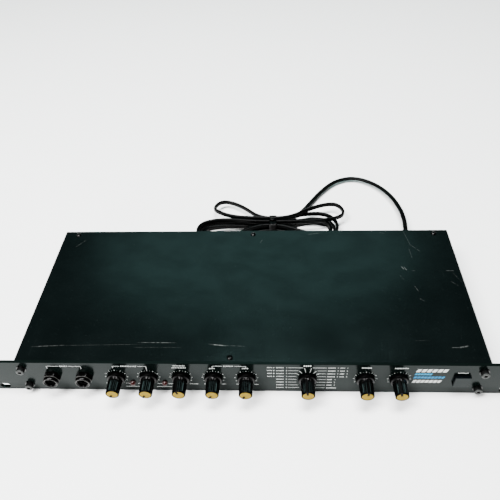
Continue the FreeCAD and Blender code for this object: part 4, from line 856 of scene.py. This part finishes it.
def make_camera():
    """The camera of the photograph: 43.9 degrees down, a little to the left, rolled by 3."""
    pitch, yaw, roll = math.radians(43.852), math.radians(-3.961), math.radians(-2.957)
    ahead = np.array([math.sin(yaw) * math.cos(pitch), math.cos(yaw) * math.cos(pitch),
                      -math.sin(pitch)])
    level = np.array([math.cos(yaw), -math.sin(yaw), 0.0])
    above = np.cross(level, ahead)
    right = math.cos(roll) * level + math.sin(roll) * above
    up = -math.sin(roll) * level + math.cos(roll) * above
    data = bpy.data.cameras.new("camera")
    data.lens, data.sensor_width, data.clip_start = 38.757, 36.0, 0.01
    bpy.context.scene.camera = put_in_scene(
        "camera", data, np.array([right, up, -ahead]).T, (0.026219, -0.275152, 0.446144))


def cord_spline():
    """The whole cord's line: a quadratic NURBS curve through the route's control points."""
    curve = bpy.data.curves.new("cord_line", "CURVE")
    curve.dimensions = "3D"
    curve.resolution_u = 14
    points = np.array([*CORD_ROUTE, *hank_control_points()]) * MM
    spline = curve.splines.new("NURBS")
    spline.points.add(len(points) - 1)
    spline.points.foreach_set("co", np.hstack([points, np.ones((len(points), 1))]).ravel())
    spline.order_u = 3
    spline.use_endpoint_u = True
    return surface_of(curve)[0]


def flat_cord_surface(path, sizes):
    """A twin flat cord carried along its line.

    The section's half height at x is the circle sqrt(r^2 - (|x| - c)^2) of one rib, never
    under half the groove. It lies flat on the free stretch and rolls on edge in the hank.
    """
    level, above = sides_of(path)
    along = np.concatenate([[0], np.cumsum(np.linalg.norm(np.diff(path, axis=0), axis=1))])
    share = np.clip((along - 0.235) / 0.07, 0, 1) * np.clip((along[-1] - 0.03 - along) / 0.06, 0, 1)
    roll = math.pi / 2 * share ** 2 * (3 - 2 * share)
    across = level * np.cos(roll)[:, None] + above * np.sin(roll)[:, None]
    up = above * np.cos(roll)[:, None] - level * np.sin(roll)[:, None]
    a = full_turn(28)
    half, rib = sizes.cord_width / 2, sizes.cord_depth / 2
    x = half * np.cos(a)
    circle = np.sqrt(np.clip(rib ** 2 - (np.abs(x) - (half - rib)) ** 2, 0, None))
    y = np.sign(np.sin(a)) * np.maximum(circle, sizes.cord_groove / 2 * (np.abs(x) < half - rib))
    y[np.abs(np.sin(a)) < 1e-9] = 0
    return outward(closed_surface(carried_section(path, np.stack([x, y], -1)[None], across, up)))


def relief_surface():
    """The strain relief: a cone behind the rear panel with six rings sunk into its sleeve.

    The sleeve's radius falls in a straight line and loses 0.5 mm at each ring, by the sixth
    power of a sine along it.
    """
    low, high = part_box("strain_relief")
    y = np.linspace(REAR + 3.0 * MM, high[1], 60)
    t = (y - y[0]) / (y[-1] - y[0])
    sleeve = (5.0 - 1.3 * t) * MM - 0.5 * MM * np.sin(math.pi * 6 * t) ** 6
    rows = [(low[1], 0.3 * MM), (low[1], 7.4 * MM), (REAR - 1.25 * MM, 7.4 * MM),
            (REAR - 1.25 * MM, 5.85 * MM), (REAR + 0.05 * MM, 5.85 * MM),
            (REAR + 0.05 * MM, 7.4 * MM), (REAR + 1.6 * MM, 7.2 * MM), (REAR + 2.0 * MM, 6.6 * MM),
            *zip(y, sleeve), (high[1], 0.3 * MM)]
    return outward(closed_surface(place_on_panel(rows, full_turn(48), centre_of("strain_relief"))))


def plug_surface(start):
    """The plug: superellipse sections along X, a ribbed neck and a waisted grip.

    Each section is (w |cos a|^(2/n), h |sin a|^(2/n)) with its own half width, half height
    and power n.
    """
    neck = np.linspace(0, 12, 25)
    ribs = 3.6 + 0.22 * neck - 0.5 * np.sin(math.pi * neck / 3) ** 6
    stations = [(x, r, r, 2.0) for x, r in zip(neck, ribs)]
    stations += [(12.2, 7.4, 5.6, 3.0), (13.0, 8.9, 6.3, 4.0), (15.5, 9.6, 6.6, 4.5),
                 (20.0, 9.3, 6.1, 4.5), (25.0, 9.6, 6.1, 4.5), (30.0, 10.6, 6.6, 5.0),
                 (34.5, 10.9, 6.75, 5.0), (35.6, 10.6, 6.5, 5.0), (36.0, 9.9, 5.9, 4.5)]
    x, wide, tall, power = np.array(stations).T[:, :, None]
    a = full_turn(64)[None]
    y, z = wide * signed_power(np.cos(a), 2 / power), tall * signed_power(np.sin(a), 2 / power)
    return outward(closed_surface(np.stack([x + 0 * a, y, z], -1) * MM + start))


def tie_surface(sizes):
    """The strap: a rounded band carried round the hank, with twisted ends on top.

    The loop is the outline of the bundle moved out by a radius: for each direction, the
    farthest corner plus the radius along it.
    """
    middle_x, middle_y = centre_of("cord_tie")[:2]
    clear, layer = 2.7 * MM + sizes.tie_depth / 2, 5.5 * MM
    heights = [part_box("cord_tie")[0][2] + clear + sizes.tie_depth / 2 + layer * k
               for k in range(3)]
    corners = np.array([(-13.4 * MM, heights[0]), (13.4 * MM, heights[0]),
                        (13.4 * MM, heights[1]), (6.6 * MM, heights[2]),
                        (-6.6 * MM, heights[2]), (-13.4 * MM, heights[1])])
    a = full_turn(90)
    out = np.stack([np.cos(a), np.sin(a)], -1)
    loop = corners[np.argmax(out @ corners.T, axis=1)]
    b = full_turn(20)
    wide = sizes.tie_width / 2 * signed_power(np.cos(b), 0.4)
    reach = clear + sizes.tie_depth / 2 * signed_power(np.sin(b), 0.7)[None]
    y = middle_y + loop[:, None, 0] + out[:, None, 0] * reach
    z = loop[:, None, 1] + out[:, None, 1] * reach
    grid = np.stack([middle_x + wide[None, :] + 0 * y, y, z], -1)
    band = outward(ring_surface(grid))
    crown = np.array([middle_x, middle_y, heights[2] + clear])
    return joined([band, *[twisted_end(crown, side) for side in (-1, 1)], knot_surface(crown)])


def twisted_end(crown, side):
    """One end of the tie: a soft wire along a bent line, thicker in its middle."""
    t = np.linspace(0, 1, 24)
    path = crown + np.stack([side * 6.5 * t, 2.2 * np.sin(2.4 * t), 1.4 + 1.5 * t - 1.2 * t ** 2],
                            -1) * MM
    level, above = sides_of(path)
    a = full_turn(14)
    radius = 1.15 * MM * np.sqrt(np.clip(1 - (2 * t - 1) ** 8, 0.01, 1))
    section = np.stack([np.cos(a), np.sin(a)], -1)[None] * radius[:, None, None]
    return outward(closed_surface(carried_section(path, section, level, above)))


def knot_surface(crown):
    """The twist: an egg shape with three turns of a shallow spiral groove."""
    t = np.linspace(0.04, math.pi - 0.04, 22)[:, None]
    a = full_turn(36)[None]
    r = 2.7 * MM * np.sin(t) * (1 - 0.09 * np.cos(3 * a + 5 * t))
    points = np.stack([-4.2 * MM * np.cos(t) + 0 * a, r * np.cos(a),
                       r * np.sin(a) * 0.85 + 1.0 * MM + 0 * t], -1) + crown
    return outward(closed_surface(points))


# Printing on the panel


def dial_centres():
    """The axis of every dial, as (x, z), read from the model's shafts."""
    return {name: (float(centre_of(f"{name}_shaft")[0]), CONTROL_HEIGHT) for name in DIAL_TURNS}


def printed(x, z, sizes, turn=0.0, pivot=(0.0, 0.0), slant=0.0):
    """One printed rectangle on the panel's face, in metres."""
    return brick(x, (PANEL_FRONT - sizes.ink_depth, PANEL_FRONT), z, turn, pivot, slant)


def line(x0, x1, z, sizes, width=None):
    """A level printed line, in millimetres."""
    half = (width or sizes.line_width) / 2
    return printed((x0 * MM, x1 * MM), (z * MM - half, z * MM + half), sizes)


def post(x, z0, z1, sizes):
    """An upright printed line, in millimetres."""
    half = sizes.line_width / 2
    return printed((x * MM - half, x * MM + half), (z0 * MM, z1 * MM), sizes)


def lettered_row(x0, x1, z0, z1, count, sizes, slant=0.35, share=0.76):
    """A row of slanted blocks in the place of a printed name, all alike, in millimetres."""
    pitch = (x1 - x0) / count
    return [printed(((x0 + k * pitch) * MM, (x0 + (k + share) * pitch) * MM),
                    (z0 * MM, z1 * MM), sizes, slant=slant) for k in range(count)]


def block_row(x0, x1, z, tall, sizes, share=0.66):
    """A row of plain blocks in place of a word, as wide as letters and evenly spaced."""
    count = max(1, round((x1 - x0) / (tall * 0.95)))
    return lettered_row(x0, x1, z - tall / 2, z + tall / 2, count, sizes, 0.15, share)


def number(text, x, z, tall, sizes):
    """A plain number from the built-in typeface, as a thin solid on the panel."""
    curve = bpy.data.curves.new("number", "FONT")
    curve.body, curve.size = text, tall * MM / 0.7
    curve.align_x, curve.align_y = "CENTER", "CENTER"
    curve.extrude, curve.resolution_u = sizes.ink_depth / 2, 3
    flat, corners, counts = surface_of(curve)
    points = np.stack([flat[:, 0] + x * MM, PANEL_FRONT - sizes.ink_depth / 2 - flat[:, 2],
                       flat[:, 1] + z * MM], -1)
    return outward((points, corners, counts))


def dial_ticks(x, z, sizes):
    """Eleven ticks over 300 degrees round a dial, with a dot between each two."""
    wide, start = sizes.line_width * 0.45, z + sizes.tick_start
    ticks = [(angle, wide, (start, z + sizes.tick_end)) for angle in range(-150, 151, 30)]
    dots = [(angle, wide * 0.8, (start + wide, start + wide * 2.6))
            for angle in range(-135, 136, 30)]
    return [printed((x - half, x + half), reach, sizes, math.radians(angle), (x, z))
            for angle, half, reach in ticks + dots]


def bracket(x0, x1, z, feet, gap, sizes):
    """A printed bracket over two controls, open where its word stands."""
    parts = [line(x0, gap[0], z, sizes), line(gap[1], x1, z, sizes)]
    parts += [post(x, foot, z, sizes) for x, foot in zip((x0, x1), feet)]
    return parts + block_row(gap[0] + 1.0, gap[1] - 0.6, z, 1.5, sizes, share=0.55)


def mode_legend(sizes):
    """Sixteen lines from the mode dial to its numbered columns of blocks."""
    x0, z0 = dial_centres()["mode"][0] / MM, CONTROL_HEIGHT / MM
    heights = (38.9, 34.3, 29.7, 25.1, 20.5, 15.9, 11.3, 6.7)
    half, fine = sizes.line_width / 2, sizes.line_width * 0.8
    parts = []
    for row, z in enumerate(heights):
        start = {0: 4.3, 7: 7.1}.get(row, 8.5)
        parts.append(line(36.0, x0 - start - (1.5 if row in (2, 3, 4, 5) else 0), z, sizes, fine))
        parts.append(line(x0 + start, 70.0, z, sizes, fine))
        words = [(17.0, 21.6), (22.4, 24.0)] * (row < 4) + [(25.2, 32.2)]
        numbers = [(row + 1, 34.5)]
        if row < 4:
            words += [(71.3, 78.2), (82.0, 86.2)]
            numbers += [(row + 2, 80.2), (row + 1, 88.4)]
        elif row < 7:
            words.append((71.3, 76.0))
            numbers.append((row - 3, 78.4))
        else:
            words.append((71.3, 80.5))
        for left, right in words:
            parts += block_row(left, right, z, 1.2, sizes, share=0.58)
        parts += [number(str(value), at, z, 1.6, sizes) for value, at in numbers]
    for side in (-1, 1):
        for angle in (11.25, 33.75, 56.25):
            end = z0 + (15.7 if angle < 20 else 13.7)
            parts.append(printed(
                (x0 * MM - half, x0 * MM + half), ((z0 + 9.2) * MM, end * MM), sizes,
                math.radians(side * angle), (x0 * MM, z0 * MM)))
    return parts + block_row(49.4, 56.6, 41.7, 1.9, sizes)


def white_print(sizes):
    """Everything that is printed in white."""
    dials = dial_centres()
    parts = []
    for name, (x, z) in dials.items():
        if name != "mode":
            parts += dial_ticks(x, z, sizes)
    words = {"dial_1": (-11.6, 12.6), "dial_2": (-11.6, 12.6), "dial_3": (-13.0, 14.8),
             "dial_4": (-9.6, 11.0), "dial_5": (-9.6, 11.0)}
    for name, (left, right) in words.items():
        x = dials[name][0] / MM
        parts += block_row(x + left, x - 7.2, 11.6, 0.85, sizes, share=0.5)
        parts += block_row(x + 6.8, x + right, 11.6, 0.85, sizes, share=0.5)
    for x0, x1, z, feet, gap in (
            (-183.5, -152.0, 38.6, (34.6, 34.6), (-172.0, -163.2)),
            (-122.5, -91.9, 39.3, (36.5, 34.5), (-116.0, -99.8)),
            (-31.9, -1.9, 40.5, (38.2, 38.2), (-23.0, -12.0))):
        parts += bracket(x0, x1, z, feet, gap, sizes)
    for x0, x1, z, tall, share in (
            (-67.2, -56.2, 40.6, 1.5, 0.5), (-68.5, -55.4, 37.6, 1.5, 0.5),
            (-34.9, -29.5, 36.8, 1.4, 0.66), (-5.2, 0.6, 37.2, 1.4, 0.66),
            (100.7, 109.5, 39.3, 1.4, 0.66), (129.5, 141.6, 39.0, 1.4, 0.66),
            (185.5, 194.6, 32.4, 1.1, 0.5)):
        parts += block_row(x0, x1, z, tall, sizes, share)
    parts += [line(-116.0, -103.4, 6.5, sizes), line(-86.7, -72.5, 6.5, sizes)]
    parts += mode_legend(sizes)
    parts += lettered_row(148.4, 176.2, 33.4, 38.0, 6, sizes)
    parts += lettered_row(147.4, 173.4, 16.8, 21.0, 7, sizes)
    return joined(parts)


# Operators


def groups():
    """The user's sizes and colours."""
    scene = bpy.context.scene
    return scene.delay_unit_sizes, scene.delay_unit_colours


class DELAYUNIT_OT_stage(bpy.types.Operator):
    """Makes the floor, lights and camera"""

    bl_idname = "delay_unit.stage"
    bl_label = "Floor, lights and camera"

    def execute(self, context):
        make_stage(groups()[1])
        make_camera()
        return {"FINISHED"}


class DELAYUNIT_OT_cord(bpy.types.Operator):
    """Makes the flat cord with its hank, strap, strain relief and plug"""

    bl_idname = "delay_unit.cord"
    bl_label = "Mains cord"

    def execute(self, context):
        sizes, colours = groups()
        vinyl = soft_vinyl(colours)
        path = cord_spline()
        cord = add_piece("flat_cord", flat_cord_surface(path, sizes), vinyl, "case",
                         ("power_cord", "power_cord_hank"), 80.0)
        add_piece("relief_sleeve", relief_surface(), vinyl, "case",
                  ("strain_relief",))
        plug = add_piece("moulded_plug", plug_surface(path[-1]), vinyl, "case",
                         ("power_plug",))
        strap = add_piece("twist_tie", tie_surface(sizes), moulded_plastic(
            "pvc_strap", linear("#010101"), 0.25, 0.1, Specular_IOR_Level=0.03), "case",
            ("cord_tie",))
        dress(machined_metal("plated_brass", linear("#c9b27a"), 0.3, 0.8, (20.0, 1.0, 1.0)),
              "plug_blades")
        return {"FINISHED"}


class DELAYUNIT_OT_case(bpy.types.Operator):
    """Paints the panel, cover, tray and rear panel"""

    bl_idname = "delay_unit.case"
    bl_label = "Case and panel"

    def execute(self, context):
        colours = groups()[1]
        dress(stoved_enamel(colours), "front_panel")
        dress(case_paint(colours, "satin_enamel_cover", COVER_SCRATCHES), "top_cover")
        dress(case_paint(colours, "satin_enamel_case"), "chassis_tray", "rear_panel")
        return {"FINISHED"}


class DELAYUNIT_OT_print(bpy.types.Operator):
    """Prints the panel's lines, ticks, numbers and stripes"""

    bl_idname = "delay_unit.print"
    bl_label = "Panel printing"

    def execute(self, context):
        sizes, colours = groups()
        for name, shape, ink in (
                ("white", white_print(sizes), colours.ink),
                ("cyan", joined(lettered_row(148.0, 163.4, 28.9, 31.6, 6, sizes)),
                 colours.ink_cyan),
                ("blue", joined(lettered_row(147.8, 175.2, 23.6, 26.8, 9, sizes)),
                 colours.ink_blue)):
            add_piece(f"print_{name}", shape, screen_ink(f"epoxy_ink_{name}", ink), "case")
        return {"FINISHED"}


class DELAYUNIT_OT_knobs(bpy.types.Operator):
    """Makes the fluted knobs with their pointers and finishes their caps and shafts"""

    bl_idname = "delay_unit.knobs"
    bl_label = "Knobs"

    def execute(self, context):
        sizes, colours = groups()
        plastic = knob_plastic(colours)
        matt = moulded_plastic("abs_matt", colours.knob, 0.5, Specular_IOR_Level=0.02)
        disc = cap_disc(colours)
        steel = machined_metal("turned_steel", linear("#b5b7b8"), 0.28, 0.3, (1.0, 12.0, 1.0))
        for name, (x, z) in dial_centres().items():
            body = "mode_dial" if name == "mode" else name
            shell, ridge = knob_surface((x, 0.0, z), DIAL_TURNS[name], sizes)
            add_piece(f"{name}_fluted_knob", shell, plastic, body,
                      (f"{name}_knob",))
            add_piece(f"{name}_pointer", ridge, matt, body)
            dress(disc, f"{name}_cap")
            dress(steel, f"{name}_shaft")
        return {"FINISHED"}


class DELAYUNIT_OT_jacks(bpy.types.Operator):
    """Makes the jack nuts and finishes the jacks"""

    bl_idname = "delay_unit.jacks"
    bl_label = "Jacks"

    def execute(self, context):
        colours = groups()[1]
        # The pale colour on the nuts' rims is a painted highlight.
        nylon = worn_black("nylon_black", colours.knob, colours.worn)
        low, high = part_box("input_jacks")
        reach = 8 * MM
        add_worn_piece("input_nuts", [input_nut(x) for x in (low[0] + reach, high[0] - reach)],
                       nylon, "input_jack_nuts")
        middle, pitch = centre_of("output_jacks")[0], 30 * MM
        add_worn_piece("output_nuts", [output_nut(middle + k * pitch) for k in (-1, 0, 1)],
                       nylon, "output_jack_nuts")
        dress(moulded_plastic("nylon_jack", linear("#070707"), 0.45, Specular_IOR_Level=0.06),
              "input_jacks", "output_jacks")
        return {"FINISHED"}


class DELAYUNIT_OT_fasteners(bpy.types.Operator):
    """Makes the socket screws and finishes washers, nuts and case screws"""

    bl_idname = "delay_unit.fasteners"
    bl_label = "Screws and nuts"

    def execute(self, context):
        colours = groups()[1]
        oxide = worn_black("black_oxide_steel", linear("#050505"), tone(colours.bare, 0.1))
        low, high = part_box("panel_screws")
        reach = 3.6 * MM
        screws = [cap_screw_surface(x, z) for x in (low[0] + reach, high[0] - reach)
                  for z in (low[2] + reach, high[2] - reach)]
        add_worn_piece("socket_screws", screws, oxide, "panel_screws")
        heads = [pan_screw_surface(lambda u, v, h, x=x, y=y: (
            x * MM + u, y * MM + v, CASE_TOP + h)) for x, y in COVER_SCREWS]
        heads += [pan_screw_surface(lambda u, v, h, x=x, z=z: (
            x * MM + u, REAR + h, z * MM - v)) for x, z in REAR_SCREWS]
        heads = joined(heads)
        add_piece("pan_screws", heads, worn_black(
            "phosphated_steel", linear("#010101"), colours.worn, 0.14), "case",
            ("case_screws",), 30.0, np.zeros(len(heads[0])))
        dress(machined_metal("blackened_steel", linear("#2b2c2c"), 0.2, 0.6), "panel_washers")
        dress(machined_metal("zinc_plate", linear("#a9aca8"), 0.32, 0.6), "dial_nuts",
              "dial_pots", "mode_switch", "board_standoffs", "board_screws", "level_switch")
        return {"FINISHED"}


class DELAYUNIT_OT_button(bpy.types.Operator):
    """Finishes the power button, the lights and the level slider"""

    bl_idname = "delay_unit.button"
    bl_label = "Button and lights"

    def execute(self, context):
        colours = groups()[1]
        dress(moulded_plastic("abs_button", linear("#020304"), 0.22, Specular_IOR_Level=0.06,
                              Specular_Tint=(0.5, 1.0, 0.95, 1.0)), "power_button")
        dress(moulded_plastic("abs_slider", linear("#16181a"), 0.4), "level_slider")
        low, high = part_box("signal_leds")
        middle, half = (low[2] + high[2]) / 2, (high[2] - low[2]) / 2
        lenses = [lens_surface((x, 0.0, middle), high[1]) for x in (low[0] + half, high[0] - half)]
        add_piece("signal_lenses", joined(lenses), lamp_epoxy(colours), "case",
                  ("signal_leds",), 35.0)
        return {"FINISHED"}


class DELAYUNIT_OT_inside(bpy.types.Operator):
    """Finishes the boards, transformer and wiring inside the case"""

    bl_idname = "delay_unit.inside"
    bl_label = "Inside"

    def execute(self, context):
        dress(circuit_board(), "control_board", "main_board")
        dress(stacked_laminations(), "transformer_core")
        for name, hex_code, roughness, *nodes in (
                ("moulded_epoxy", "#1b1c1c", 0.5, "board_chips", "power_switch"),
                ("pvc_sleeve_blue", "#1f2f52", 0.35, "board_capacitors"),
                ("pvc_ribbon_grey", "#8b8d8f", 0.5, "ribbon_cable"),
                ("polyester_tape", "#b8923a", 0.4, "transformer_coil"),
                ("pvc_wire", "#1a1a1c", 0.4, "mains_wires")):
            dress(moulded_plastic(name, linear(hex_code), roughness), *nodes)
        return {"FINISHED"}


OPERATORS = (
    DELAYUNIT_OT_stage, DELAYUNIT_OT_cord, DELAYUNIT_OT_case, DELAYUNIT_OT_print,
    DELAYUNIT_OT_knobs, DELAYUNIT_OT_jacks, DELAYUNIT_OT_fasteners, DELAYUNIT_OT_button,
    DELAYUNIT_OT_inside,
)


class DELAYUNIT_PT_sidebar(bpy.types.Panel):
    """Lists the sizes, the colours and the steps of the dressing"""

    bl_label = "Delay unit"
    bl_idname = "DELAYUNIT_PT_sidebar"
    bl_space_type = "VIEW_3D"
    bl_region_type = "UI"
    bl_category = "Delay unit"

    def draw(self, context):
        for group in groups():
            column = self.layout.column(align=True)
            for name in group.bl_rna.properties.keys():
                if name not in {"rna_type", "name"}:
                    column.prop(group, name)
        column = self.layout.column(align=True)
        for operator in OPERATORS:
            column.operator(operator.bl_idname)


CLASSES = (DelayUnitSizes, DelayUnitColours, *OPERATORS, DELAYUNIT_PT_sidebar)


def register():
    """Registers the classes and hangs both property groups on the scene."""
    for cls in CLASSES:
        bpy.utils.register_class(cls)
    bpy.types.Scene.delay_unit_sizes = PointerProperty(type=DelayUnitSizes)
    bpy.types.Scene.delay_unit_colours = PointerProperty(type=DelayUnitColours)


def unregister():
    """Takes everything away again."""
    del bpy.types.Scene.delay_unit_colours
    del bpy.types.Scene.delay_unit_sizes
    for cls in reversed(CLASSES):
        bpy.utils.unregister_class(cls)


def main():
    """Dresses the model step by step."""
    register()
    for operator in OPERATORS:
        group, name = operator.bl_idname.split(".")
        getattr(getattr(bpy.ops, group), name)()


if __name__ == "__main__":
    main()
